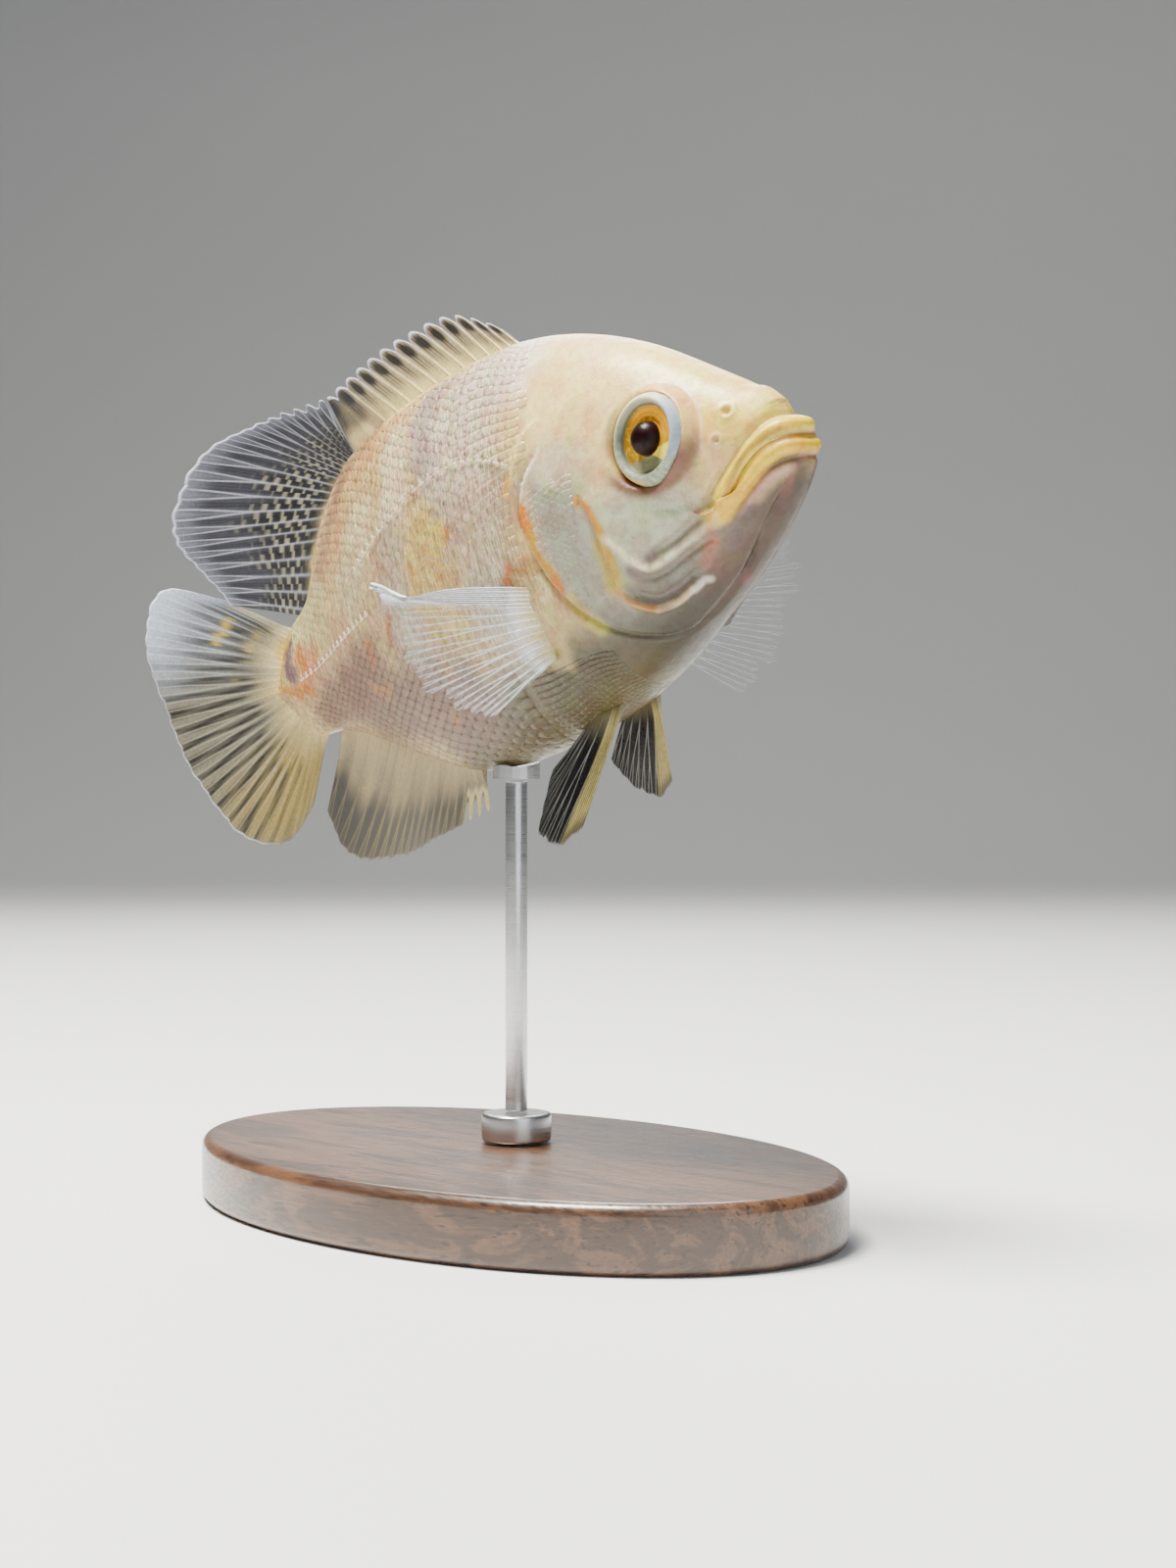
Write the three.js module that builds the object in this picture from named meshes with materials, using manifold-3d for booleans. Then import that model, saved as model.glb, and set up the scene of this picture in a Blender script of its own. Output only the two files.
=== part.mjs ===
// Life-size display model of a young, pale oscar cichlid that swims nose up above a small stand.
// Units are millimetres and +Z is up. The fish heads towards +X and its left side is +Y.
// The origin is the middle of the stand's underside.
//
// The fish is drawn straight and level first, as points [s, y, z]: s runs back from the snout,
// y to the fish's left, and z up from the line between the mouth and the middle of the tail fin.
// bent() swings the tail, and the group that holds the fish climbs and leans.

import * as THREE from "three";
import { mergeVertices } from "three/addons/utils/BufferGeometryUtils.js";
import Module from "manifold-3d";

const wasm = await Module();
wasm.setup();

const radians = THREE.MathUtils.degToRad;

// Sizes of the fish. Snout to tail root is the standard length, and most of the rest follows it.
const standardLength = 115;
const totalLength = 142;
const gap = 0.3; // between neighbouring solids
const beyond = 40; // reaches past the fish on every side, for the blocks that part it

// Pose, in degrees: nose up, leaning on the right side, the tail swung in a shallow S
const climb = 15;
const lean = 8;
const trunkSwing = { from: 0.3, over: 0.5, angle: -10.3 };
const tailSwing = { from: 0.8, over: 0.45, angle: 30 };
const snout = new THREE.Vector3(55, 0, 104);

// Stand
const base = { length: 108, width: 68, height: 9, bevel: 1.5, bevelSteps: 2, curveSteps: 14 };
const rod = { s: 67, radius: 1.6, sides: 14 };
const boss = { radius: 5, height: 4, sides: 20 };
const cup = { radius: 3.4, height: 4, sides: 20 };

// Where the body is parted, as side views of [s, z] points
const tailStart = 84;
const headOutline = [
  [-12, 45],
  [37, 45],
  [35.5, 20],
  [36.5, 10],
  [40.6, 5],
  [40.8, 0],
  [38.6, -7],
  [33.5, -13],
  [27, -18],
  [24, -32],
  [-12, -32],
];
const gillCoverOutline = [
  [30, 9.5],
  [36.2, 10],
  [40.3, 5],
  [40.5, 0],
  [38.3, -7],
  [33.2, -13],
  [26.8, -17.2],
  [21.5, -18],
  [24, -12],
  [27.5, -8],
];
const lowerJawOutline = [
  [-12, -1.5],
  [1.5, -0.2],
  [4, 0.1],
  [6.8, -0.8],
  [9.4, -2.8],
  [12.8, -6.2],
  [19.6, -10.2],
  [21, -13],
  [17, -32],
  [-12, -32],
];
const gillCoverThickness = 2.4;
const throatWidth = 8; // left between the two gill covers

// Hoops round the body from the mouth to the tail root. Each passes through a point on the back,
// the widest point of the side and a point on the belly, and the lines between them are smooth.
// Its shape holds the fullness of its upper and lower half, where 2 is an ellipse, less is a ridge
// and more is boxy, and how far the hoop arches up between the middle and the side.
const hoops = [
  { back: [2.2, -0.3], side: [12.8, 5.8, -6.2], belly: [2.2, -0.3], shape: [2, 2, 1.8] }, // mouth
  { back: [1.3, 1.5], side: [13.1, 6.7, -6.0], belly: [1.2, -2.3], shape: [2.1, 1.9, 1.7] }, // lips
  { back: [3.4, 4.8], side: [14.5, 7.6, -5.2], belly: [3.4, -5.3], shape: [2.2, 1.8, 1.2] },
  { back: [6.0, 8.2], side: [17.0, 8.8, -3.8], belly: [8.2, -9.5], shape: [2.3, 1.7, 0.4] }, // chin
  { back: [12.8, 14.0], side: [21.5, 10.4, -2.2], belly: [16.0, -14.4], shape: [2.4, 1.8, 0] }, // eyes
  { back: [22.0, 21.2], side: [28.0, 11.7, -1.0], belly: [24.6, -18.4], shape: [2.2, 2, 0] }, // cheeks
  { back: [31.0, 26.0], side: [35.0, 12.3, 0.2], belly: [33.0, -22.0], shape: [2, 2.1, 0] }, // gills
  { back: [40.5, 29.0], side: [43.0, 12.4, 1.2], belly: [42.0, -24.6], shape: [1.85, 2.15, 0] },
  { back: [51.0, 30.2], side: [52.0, 12.0, 2.0], belly: [52.0, -25.8], shape: [1.75, 2.15, 0] },
  { back: [62.5, 30.3], side: [62.5, 11.1, 2.2], belly: [62.5, -26.0], shape: [1.7, 2.1, 0] }, // belly
  { back: [74.0, 29.7], side: [74.0, 9.6, 2.2], belly: [74.0, -24.4], shape: [1.65, 2, 0] }, // vent
  { back: [86.0, 27.6], side: [86.0, 7.6, 2.0], belly: [86.0, -19.2], shape: [1.6, 1.8, 0] },
  { back: [97.0, 21.8], side: [97.0, 5.4, 1.2], belly: [97.0, -13.6], shape: [1.6, 1.7, 0] },
  { back: [105.5, 12.6], side: [106.5, 3.9, 0.4], belly: [105.5, -10.0], shape: [1.8, 1.9, 0] },
  { back: [111.5, 9.6], side: [114.0, 2.3, 0.0], belly: [111.5, -9.2], shape: [2.1, 2.1, 0] },
  { back: [113.5, 8.4], side: [118.0, 1.0, 0.0], belly: [113.5, -8.2], shape: [2.1, 2.1, 0] }, // root
];
const bodyRings = 33;
const bodySegments = 28;
const archHeight = 4; // of a hoop whose arch is 1, at half the way up

// Eyes: flattened balls that stand a little out of the head
const eye = { s: 18.9, y: 8.2, z: 6.3, radius: 6.1, depth: 3, sides: 16 };

// Fins. A fin's rays run from the roots curve to the tips curve, both given by [s, y, z] points.
const rayThickness = 1.0;
const webThickness = 0.6;
const fins = {
  dorsal_fin_spiny: {
    rays: 13,
    rows: 3,
    notch: 0.2,
    roots: [
      [41, 0, 27],
      [61, 0, 28],
      [82.5, 0, 26.5],
    ],
    tips: [
      [45.2, 0, 32.6],
      [54, 0, 37.8],
      [64, 0, 38.9],
      [75, 0, 38.7],
      [86.6, 0, 38],
    ],
  },
  dorsal_fin_soft: {
    rays: 18,
    rows: 4,
    roots: [
      [84.2, 0, 26],
      [96.5, 0, 19.6],
      [106, 0, 9],
    ],
    tips: [
      [88.6, 0, 38.2],
      [105.5, 0, 41.3],
      [121.5, 0, 41.2],
      [130.2, -0.8, 32],
      [121.5, -2.4, 16.2],
    ],
  },
  anal_fin: {
    rays: 16,
    rows: 3,
    notch: 0.06,
    roots: [
      [73.5, 0, -22.5],
      [90.8, 0, -14.8],
      [105.6, 0, -8],
    ],
    tips: [
      [75.8, 0, -29.8],
      [88.5, 0, -30.6],
      [102, 0, -31.2],
      [113.8, 0, -27.8],
      [115.2, 0, -20.4],
    ],
  },
  caudal_fin: {
    rays: 16,
    rows: 4,
    roots: [
      [110.5, 0, 8],
      [115.8, 0, 0],
      [109.8, 0, -8],
    ],
    tips: [
      [125, 0, 18.6],
      [136.5, 0, 23.4],
      [141.8, 0, 17],
      [141.6, 0, 5],
      [139.2, 0, -8],
      [133, 0, -20],
      [126, 0, -22.8],
      [118.5, 0, -18.8],
    ],
  },
  pectoral_fin_right: {
    rays: 13,
    rows: 3,
    roots: [
      [41.4, -10.9, -6],
      [42.2, -11.1, -10.5],
      [43.6, -10.4, -15.2],
    ],
    tips: [
      [63, -21, 1.6],
      [62.2, -20.5, -5],
      [60.4, -20, -12],
      [55.5, -20, -18],
      [49.3, -19, -20.6],
    ],
  },
  pectoral_fin_left: {
    rays: 13,
    rows: 3,
    roots: [
      [41.4, 10.9, -6],
      [42.2, 11.1, -10.5],
      [43.6, 10.4, -15.2],
    ],
    tips: [
      [34, 38, -4.5],
      [36.3, 39, -10],
      [39.4, 38, -15.8],
      [42.6, 35, -21],
      [46, 30, -24.6],
    ],
  },
  pelvic_fin_right: {
    rays: 6,
    rows: 4,
    notch: 0.06,
    roots: [
      [40.2, -2.6, -22.6],
      [43.5, -3.4, -23],
      [47, -2.6, -23.4],
    ],
    tips: [
      [49.2, -9, -37.8],
      [55, -8.4, -39.4],
      [59.4, -6.6, -35.6],
      [55.5, -4, -28.4],
    ],
  },
  pelvic_fin_left: {
    rays: 6,
    rows: 4,
    notch: 0.06,
    roots: [
      [38.8, 2.6, -22.4],
      [42, 3.4, -22.8],
      [45.5, 2.6, -23.2],
    ],
    tips: [
      [46.8, 9.2, -34.6],
      [49.4, 8.8, -36],
      [52.4, 6.6, -33],
      [52, 4, -28.8],
    ],
  },
};

// Colour, roughness and, on steel, metalness of each finish
const finish = (color, roughness, metalness = 0) => ({ color, roughness, metalness });
const finishes = {
  head: finish("#ddcdb4", 0.5),
  flank: finish("#cfc3b4", 0.5),
  gillCover: finish("#c6c8c6", 0.4),
  tail: finish("#d8c3a8", 0.5),
  eye: finish("#e2a416", 0.1),
  fin: finish("#b9b2a0", 0.5),
  stand: finish("#4a3324", 0.45),
  steel: finish("#8a8c8f", 0.3, 1),
};

const curveThrough = (points) =>
  new THREE.CatmullRomCurve3(points.map((point) => new THREE.Vector3(...point)));

const smoothStep = (t) => THREE.MathUtils.smoothstep(t, 0, 1);

// Sideways turn of the backbone at s, in radians
const turnAt = (s) =>
  [trunkSwing, tailSwing].reduce(
    (sum, swing) =>
      sum + radians(swing.angle) * smoothStep((s / standardLength - swing.from) / swing.over),
    0,
  );

// The backbone seen from above, in short steps from the snout past the end of the tail fin
const backboneStep = 1;
const backbone = [{ x: 0, y: 0, turn: 0 }];
while (backbone.length * backboneStep < totalLength + 5) {
  const s = backbone.length * backboneStep;
  const turn = turnAt(s - backboneStep / 2);
  const last = backbone.at(-1);
  backbone.push({
    x: last.x - Math.cos(turn) * backboneStep,
    y: last.y - Math.sin(turn) * backboneStep,
    turn: turnAt(s),
  });
}

// Moves a point [s, y, z] of the straight fish to its place on the bent one
function bent([s, y, z]) {
  if (s <= 0) return new THREE.Vector3(-s, y, z);
  const i = Math.min(Math.floor(s / backboneStep), backbone.length - 2);
  const share = s / backboneStep - i;
  const { lerp } = THREE.MathUtils;
  const turn = lerp(backbone[i].turn, backbone[i + 1].turn, share);
  return new THREE.Vector3(
    lerp(backbone[i].x, backbone[i + 1].x, share) - y * Math.sin(turn),
    lerp(backbone[i].y, backbone[i + 1].y, share) + y * Math.cos(turn),
    z,
  );
}

// Geometry from a list of points and the corners of its faces
function geometryOf(points, faces) {
  const geometry = new THREE.BufferGeometry().setFromPoints(points);
  return geometry.setIndex(faces);
}

// Solid from a closed geometry. Faces that have shrunk to a line are dropped.
function solidOf(geometry) {
  const bare = geometry.clone();
  bare.deleteAttribute("normal");
  bare.deleteAttribute("uv");
  const merged = mergeVertices(bare, 1e-4);
  const corners = merged.index.array;
  const faces = [];
  for (let i = 0; i < corners.length; i += 3) {
    const [a, b, c] = corners.slice(i, i + 3);
    if (a !== b && b !== c && c !== a) faces.push(a, b, c);
  }
  return new wasm.Manifold(
    new wasm.Mesh({
      numProp: 3,
      vertProperties: merged.attributes.position.array,
      triVerts: new Uint32Array(faces),
    }),
  );
}

// Named mesh from a solid
function meshOf(name, solid, look) {
  const { numVert, numProp, vertProperties, triVerts } = solid.getMesh();
  const positions = new Float32Array(numVert * 3);
  for (let i = 0; i < numVert; i++) {
    positions.set(vertProperties.subarray(i * numProp, i * numProp + 3), i * 3);
  }
  const geometry = new THREE.BufferGeometry();
  geometry.setAttribute("position", new THREE.BufferAttribute(positions, 3));
  geometry.setIndex(new THREE.BufferAttribute(triVerts, 1));
  geometry.computeVertexNormals();
  const mesh = new THREE.Mesh(geometry, new THREE.MeshStandardMaterial(look));
  mesh.name = name;
  return mesh;
}

// The lines that every hoop passes through, from the mouth to the tail root
const backLine = curveThrough(hoops.map(({ back: [s, z] }) => [s, 0, z]));
const sideLine = curveThrough(hoops.map(({ side }) => side));
const bellyLine = curveThrough(hoops.map(({ belly: [s, z] }) => [s, 0, z]));
const shapeLine = curveThrough(hoops.map(({ shape }) => shape));

// One hoop of the body at t, from 0 at the mouth to 1 at the tail root. grow swells the body.
function hoopPoints(t, grow) {
  const backPoint = backLine.getPoint(t).add({ x: 0, y: 0, z: grow });
  const sidePoint = sideLine.getPoint(t).add({ x: 0, y: grow, z: 0 });
  const bellyPoint = bellyLine.getPoint(t).add({ x: 0, y: 0, z: -grow });
  const [backFullness, bellyFullness, arch] = shapeLine.getPoint(t).toArray();
  const points = [];
  for (let k = 0; k < bodySegments; k++) {
    const angle = (2 * Math.PI * k) / bodySegments;
    const rise = Math.cos(angle);
    const reach = Math.sin(angle);
    const end = rise > 0 ? backPoint : bellyPoint;
    const power = 2 / (rise > 0 ? backFullness : bellyFullness);
    const share = Math.abs(rise) ** power;
    const y = Math.sign(reach) * sidePoint.y * Math.abs(reach) ** power;
    const s = THREE.MathUtils.lerp(sidePoint.x, end.x, share);
    const z = THREE.MathUtils.lerp(sidePoint.z, end.z, share);
    points.push(bent([s, y, z + archHeight * arch * share * (1 - share)]));
  }
  return points;
}

// Whole body as one solid: the first hoop folds shut along the mouth, and a fan closes the last
function bodySolid(grow) {
  const points = [];
  const faces = [];
  for (let ring = 0; ring <= bodyRings; ring++) {
    points.push(...hoopPoints(ring / bodyRings, ring === 0 ? 0 : grow));
  }
  for (let ring = 0; ring < bodyRings; ring++) {
    for (let k = 0; k < bodySegments; k++) {
      const a = ring * bodySegments + k;
      const b = ring * bodySegments + ((k + 1) % bodySegments);
      faces.push(a, b, a + bodySegments, b, b + bodySegments, a + bodySegments);
    }
  }
  const [endS, , endZ] = hoops.at(-1).side;
  const tailPoint = points.push(bent([endS + grow, 0, endZ])) - 1;
  for (let k = 0; k < bodySegments; k++) {
    const a = bodyRings * bodySegments + k;
    const b = bodyRings * bodySegments + ((k + 1) % bodySegments);
    faces.push(a, b, tailPoint);
  }
  return solidOf(geometryOf(points, faces));
}

// Block with the given side view that reaches from one y to another
function sideBlock(outline, y1, y2) {
  const shape = new THREE.Shape(outline.map(([s, z]) => new THREE.Vector2(-s, z)));
  const depth = Math.abs(y2 - y1);
  const block = new THREE.ExtrudeGeometry(shape, { depth, bevelEnabled: false });
  return solidOf(block.rotateX(Math.PI / 2).translate(0, Math.max(y1, y2), 0));
}

// Outline pushed out on every side by a distance
function widened(outline, distance) {
  const corners = outline.map((point) => new THREE.Vector2(...point));
  const side = Math.sign(THREE.ShapeUtils.area(corners));
  const outward = (from, to) => {
    const edge = to.clone().sub(from).normalize();
    return new THREE.Vector2(edge.y, -edge.x).multiplyScalar(side);
  };
  return corners.map((corner, i) => {
    const before = outward(corners.at(i - 1), corner);
    const after = outward(corner, corners[(i + 1) % corners.length]);
    const reach = distance / (1 + before.dot(after));
    return before.add(after).multiplyScalar(reach).add(corner).toArray();
  });
}

// Block that holds everything behind a distance s along the backbone
function blockBehind(s) {
  const size = 3 * beyond;
  const place = bent([s, 0, 0]);
  const block = new THREE.BoxGeometry(size, size, size).translate(-size / 2, 0, 0);
  return solidOf(block.rotateZ(turnAt(s)).translate(place.x, place.y, 0));
}

// Fin as a thin web with a rib along each ray. Where notch is set, the web ends short of the rays.
function finSolid({ rays, rows, roots, tips, notch = 0 }) {
  const columns = 2 * rays - 1;
  const rootCurve = curveThrough(roots);
  const tipCurve = curveThrough(tips);
  const web = (column, row) => {
    const share = row / rows;
    const reach = column % 2 ? 1 - notch * share : 1;
    const u = column / (columns - 1);
    const point = rootCurve.getPointAt(u).lerp(tipCurve.getPointAt(u), share * reach);
    return bent(point.toArray());
  };
  const clampColumn = (column) => THREE.MathUtils.clamp(column, 0, columns - 1);
  const sideways = (column, row) => {
    const across = web(clampColumn(column + 1), row).sub(web(clampColumn(column - 1), row));
    const out = web(column, rows).sub(web(column, 0));
    return across.cross(out).normalize();
  };
  const faceCount = columns * (rows + 1);
  const points = [1, -1].flatMap((side) =>
    Array.from({ length: faceCount }, (_, i) => {
      const column = i % columns;
      const row = Math.floor(i / columns);
      const thickness = column % 2 || row === rows ? webThickness : rayThickness;
      return web(column, row).addScaledVector(sideways(column, row), (side * thickness) / 2);
    }),
  );
  const faces = [];
  const quad = (a, b, c, d) => faces.push(a, b, c, a, c, d);
  for (let row = 0; row < rows; row++) {
    for (let column = 0; column < columns - 1; column++) {
      const a = row * columns + column;
      const b = a + columns;
      quad(a, a + 1, b + 1, b);
      quad(a + faceCount, b + faceCount, b + 1 + faceCount, a + 1 + faceCount);
    }
  }
  const rim = [];
  for (let column = 0; column < columns - 1; column++) rim.push(column);
  for (let row = 0; row < rows; row++) rim.push(row * columns + columns - 1);
  for (let column = columns - 1; column > 0; column--) rim.push(rows * columns + column);
  for (let row = rows; row > 0; row--) rim.push(row * columns);
  rim.forEach((a, i) => {
    const b = rim[(i + 1) % rim.length];
    quad(a, a + faceCount, b + faceCount, b);
  });
  return solidOf(geometryOf(points, faces));
}

// Flattened ball of one eye, on side 1 for the left and -1 for the right
function eyeSolid(side, grow) {
  const ball = new THREE.SphereGeometry(1, eye.sides, eye.sides / 2).rotateX(Math.PI / 2);
  const across = eye.radius + grow;
  ball.scale(across, eye.depth + grow, across);
  const place = bent([eye.s, side * eye.y, eye.z]);
  return solidOf(ball.translate(place.x, place.y, place.z));
}

// Flesh of the fish: head, lower jaw, gill covers, trunk and tail, parted by thin cuts
function makeFlesh() {
  const body = bodySolid(0);
  const core = bodySolid(-gillCoverThickness);
  const coreWithGap = bodySolid(-gillCoverThickness - gap);
  const headBlock = sideBlock(headOutline, -beyond, beyond);
  const headBlockWithGap = sideBlock(widened(headOutline, gap), -beyond, beyond);
  const jawBlock = sideBlock(lowerJawOutline, -beyond, beyond);
  const jawBlockWithGap = sideBlock(widened(lowerJawOutline, gap), -beyond, beyond);
  const tail = body.intersect(blockBehind(tailStart + gap));
  const trunk = body.subtract(headBlockWithGap).subtract(blockBehind(tailStart));
  let head = body.intersect(headBlock).subtract(jawBlockWithGap);
  const meshes = [];
  for (const [name, side] of [
    ["left", 1],
    ["right", -1],
  ]) {
    const inner = side * (throatWidth / 2);
    const cover = sideBlock(gillCoverOutline, inner, side * beyond);
    const pocket = sideBlock(widened(gillCoverOutline, gap), inner - side * gap, side * beyond);
    const plate = body.intersect(cover).subtract(core);
    meshes.push(meshOf(`gill_cover_${name}`, plate, finishes.gillCover));
    head = head.subtract(pocket.subtract(coreWithGap)).subtract(eyeSolid(side, gap));
    meshes.push(meshOf(`eye_${name}`, eyeSolid(side, 0), finishes.eye));
  }
  const jaw = body.intersect(headBlock).intersect(jawBlock);
  meshes.push(meshOf("head", head, finishes.head));
  meshes.push(meshOf("lower_jaw", jaw, finishes.head));
  meshes.push(meshOf("trunk", trunk, finishes.flank));
  meshes.push(meshOf("tail", tail, finishes.tail));
  return meshes;
}

// Fins, each trimmed where it meets the body
function makeFins() {
  const clearance = bodySolid(gap);
  return Object.entries(fins).map(([name, fin]) =>
    meshOf(name, finSolid(fin).subtract(clearance), finishes.fin),
  );
}

// Cylinder under the point hold, from z = foot up to z = top
function uprightCylinder(hold, { radius, sides }, foot, top) {
  const cylinder = new THREE.CylinderGeometry(radius, radius, top - foot, sides);
  return cylinder.rotateX(Math.PI / 2).translate(hold.x, hold.y, (foot + top) / 2);
}

// Height of the belly line at s
function bellyAt(s) {
  const after = hoops.findIndex(({ belly }) => belly[0] > s);
  const [s0, z0] = hoops[after - 1].belly;
  const [s1, z1] = hoops[after].belly;
  return THREE.MathUtils.mapLinear(s, s0, s1, z0, z1);
}

// Stand: an oval base, a boss on it, and a rod whose cup holds the belly
function makeStand(fish) {
  const oval = new THREE.Shape();
  const halfLength = base.length / 2 - base.bevel;
  const halfWidth = base.width / 2 - base.bevel;
  oval.absellipse(0, 0, halfLength, halfWidth, 0, 2 * Math.PI);
  const plate = new THREE.ExtrudeGeometry(oval, {
    depth: base.height - 2 * base.bevel,
    bevelThickness: base.bevel,
    bevelSize: base.bevel,
    bevelSegments: base.bevelSteps,
    curveSegments: base.curveSteps,
  }).translate(0, 0, base.bevel);
  const hold = fish.localToWorld(bent([rod.s, 0, bellyAt(rod.s)]));
  const bossFoot = base.height + gap;
  const bossTop = bossFoot + boss.height;
  const rodTop = hold.z - cup.height / 2;
  const socket = uprightCylinder(hold, boss, bossFoot, bossTop);
  const post = uprightCylinder(hold, rod, bossTop + gap, rodTop);
  const holder = uprightCylinder(hold, cup, rodTop + gap, hold.z + cup.height);
  const clearance = bodySolid(gap).transform(fish.matrixWorld.elements);
  return [
    meshOf("stand_base", solidOf(plate), finishes.stand),
    meshOf("stand_boss", solidOf(socket), finishes.steel),
    meshOf("stand_rod", solidOf(post), finishes.steel),
    meshOf("stand_cup", solidOf(holder).subtract(clearance), finishes.steel),
  ];
}

const fish = new THREE.Group();
fish.position.copy(snout);
fish.rotation.set(radians(lean), -radians(climb), 0, "YXZ");
fish.updateMatrixWorld();
fish.add(...makeFlesh(), ...makeFins());

const model = new THREE.Group();
model.add(fish, ...makeStand(fish));

export default model;
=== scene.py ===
# Finished surfaces of a young, pale oscar cichlid that swims nose up above a small display stand.
# The fish is worked out straight and level first, in millimetres, as points (s, y, z): s runs back
# from the snout, y to the fish's left, and z up from the line between mouth and tail fin. bent()
# swings the tail, and to_row() tilts the fish and brings it to metres in the frame of the model.
import math
from functools import lru_cache

import bmesh
import bpy
import numpy as np
from mathutils import Matrix, Vector


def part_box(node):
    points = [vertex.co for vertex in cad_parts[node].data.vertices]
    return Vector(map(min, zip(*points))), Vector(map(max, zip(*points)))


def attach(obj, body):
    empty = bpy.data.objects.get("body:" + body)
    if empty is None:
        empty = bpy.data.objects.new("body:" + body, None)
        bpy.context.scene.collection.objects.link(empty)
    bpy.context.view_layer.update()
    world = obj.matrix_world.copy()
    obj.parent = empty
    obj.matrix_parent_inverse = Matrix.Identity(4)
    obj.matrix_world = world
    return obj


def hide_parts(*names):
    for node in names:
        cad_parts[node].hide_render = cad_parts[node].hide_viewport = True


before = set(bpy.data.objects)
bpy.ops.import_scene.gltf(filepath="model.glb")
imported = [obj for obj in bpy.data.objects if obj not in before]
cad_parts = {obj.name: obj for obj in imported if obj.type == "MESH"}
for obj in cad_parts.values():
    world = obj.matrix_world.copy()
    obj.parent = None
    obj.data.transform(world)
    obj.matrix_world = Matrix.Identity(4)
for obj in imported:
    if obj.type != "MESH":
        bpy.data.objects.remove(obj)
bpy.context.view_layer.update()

bl_info = {
    "name": "Oscar display fish",
    "version": (1, 0, 0),
    "blender": (4, 5, 0),
    "location": "3D View > Sidebar > Oscar",
    "description": "Builds the skin, scales, fins, eyes and stand of a life-size oscar",
    "category": "Object",
}

MM = 0.001

# Pose of the fish, in millimetres and degrees
STANDARD_LENGTH = 115.0
TOTAL_LENGTH = 142.0
CLIMB = math.radians(15.0)
LEAN = math.radians(8.0)
SWINGS = [(0.30, 0.50, math.radians(-10.3)), (0.80, 0.45, math.radians(30.0))]
SNOUT = np.array([55.0, 0.0, 104.0])

# Hoops round the body: a point (s, z) on the back, the widest point (s, y, z) of the side, a point
# (s, z) on the belly, and the shape: fullness of the upper and lower half, and arch.
HOOPS = [
    ((1.8, 0.4), (12.8, 6.0, -6.2), (1.8, 0.4), (2.6, 2.6, 2.05)),  # mouth line
    ((1.3, 1.5), (13.1, 6.7, -6.0), (1.2, -2.3), (2.1, 1.9, 1.7)),  # lips
    ((3.4, 4.8), (14.5, 7.6, -5.2), (3.4, -5.3), (2.2, 1.8, 1.2)),  # groove behind the upper lip
    ((6.0, 8.2), (17.0, 8.8, -3.8), (8.2, -9.5), (2.3, 1.7, 0.4)),  # nostrils and chin
    ((12.8, 14.0), (21.5, 10.4, -2.2), (16.0, -14.4), (2.4, 1.8, 0)),  # eyes
    ((22.0, 21.2), (28.0, 11.7, -1.0), (24.6, -18.4), (2.2, 2, 0)),  # cheeks
    ((31.0, 26.0), (35.0, 12.3, 0.2), (33.0, -22.0), (2, 2.1, 0)),  # gill covers
    ((40.5, 29.0), (43.0, 12.4, 1.2), (42.0, -24.6), (1.85, 2.15, 0)),  # shoulder
    ((51.0, 30.2), (52.0, 12.0, 2.0), (52.0, -25.8), (1.75, 2.15, 0)),
    ((62.5, 30.3), (62.5, 11.1, 2.2), (62.5, -26.0), (1.7, 2.1, 0)),
    ((74.0, 29.7), (74.0, 9.6, 2.2), (74.0, -24.4), (1.65, 2, 0)),  # vent
    ((86.0, 27.6), (86.0, 7.6, 2.0), (86.0, -19.2), (1.6, 1.8, 0)),
    ((97.0, 21.8), (97.0, 5.4, 1.2), (97.0, -13.6), (1.6, 1.7, 0)),
    ((105.5, 12.6), (106.5, 3.9, 0.4), (105.5, -10.0), (1.8, 1.9, 0)),  # tail stalk
    ((111.5, 9.6), (114.0, 2.3, 0.0), (111.5, -9.2), (2.1, 2.1, 0)),
    ((113.5, 8.8), (118.0, 1.0, 0.0), (113.0, -8.6), (2.1, 2.1, 0)),  # tail root
    ((116.0, 8.4), (121.0, 0.0, 0.0), (115.2, -8.4), (2.1, 2.1, 0)),  # where it thins out on the fin
]
ARCH_HEIGHT = 4.0
LAST_HOOP = len(HOOPS) - 1
SHOULDER = 7  # the hoop where the head's finer rings end
RINGS_PER_HOOP = [26, 26, 28, 36, 42, 40, 34] + [7] * (LAST_HOOP - SHOULDER)
SKIN_COLUMNS = 320
FIRST_SCALED_HOOP = 4.0
BED_RINGS = 421
BED_COLUMNS = 400

# Eye: centre (s, y, z), outer radius, and how far its axis turns up and forward
EYE_CENTRE = np.array([18.9, 8.2, 6.3])
EYE_RADIUS = 6.1
EYE_TILT = (math.radians(9.0), math.radians(-3.5))
EYE_STEPS = 96


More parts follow.
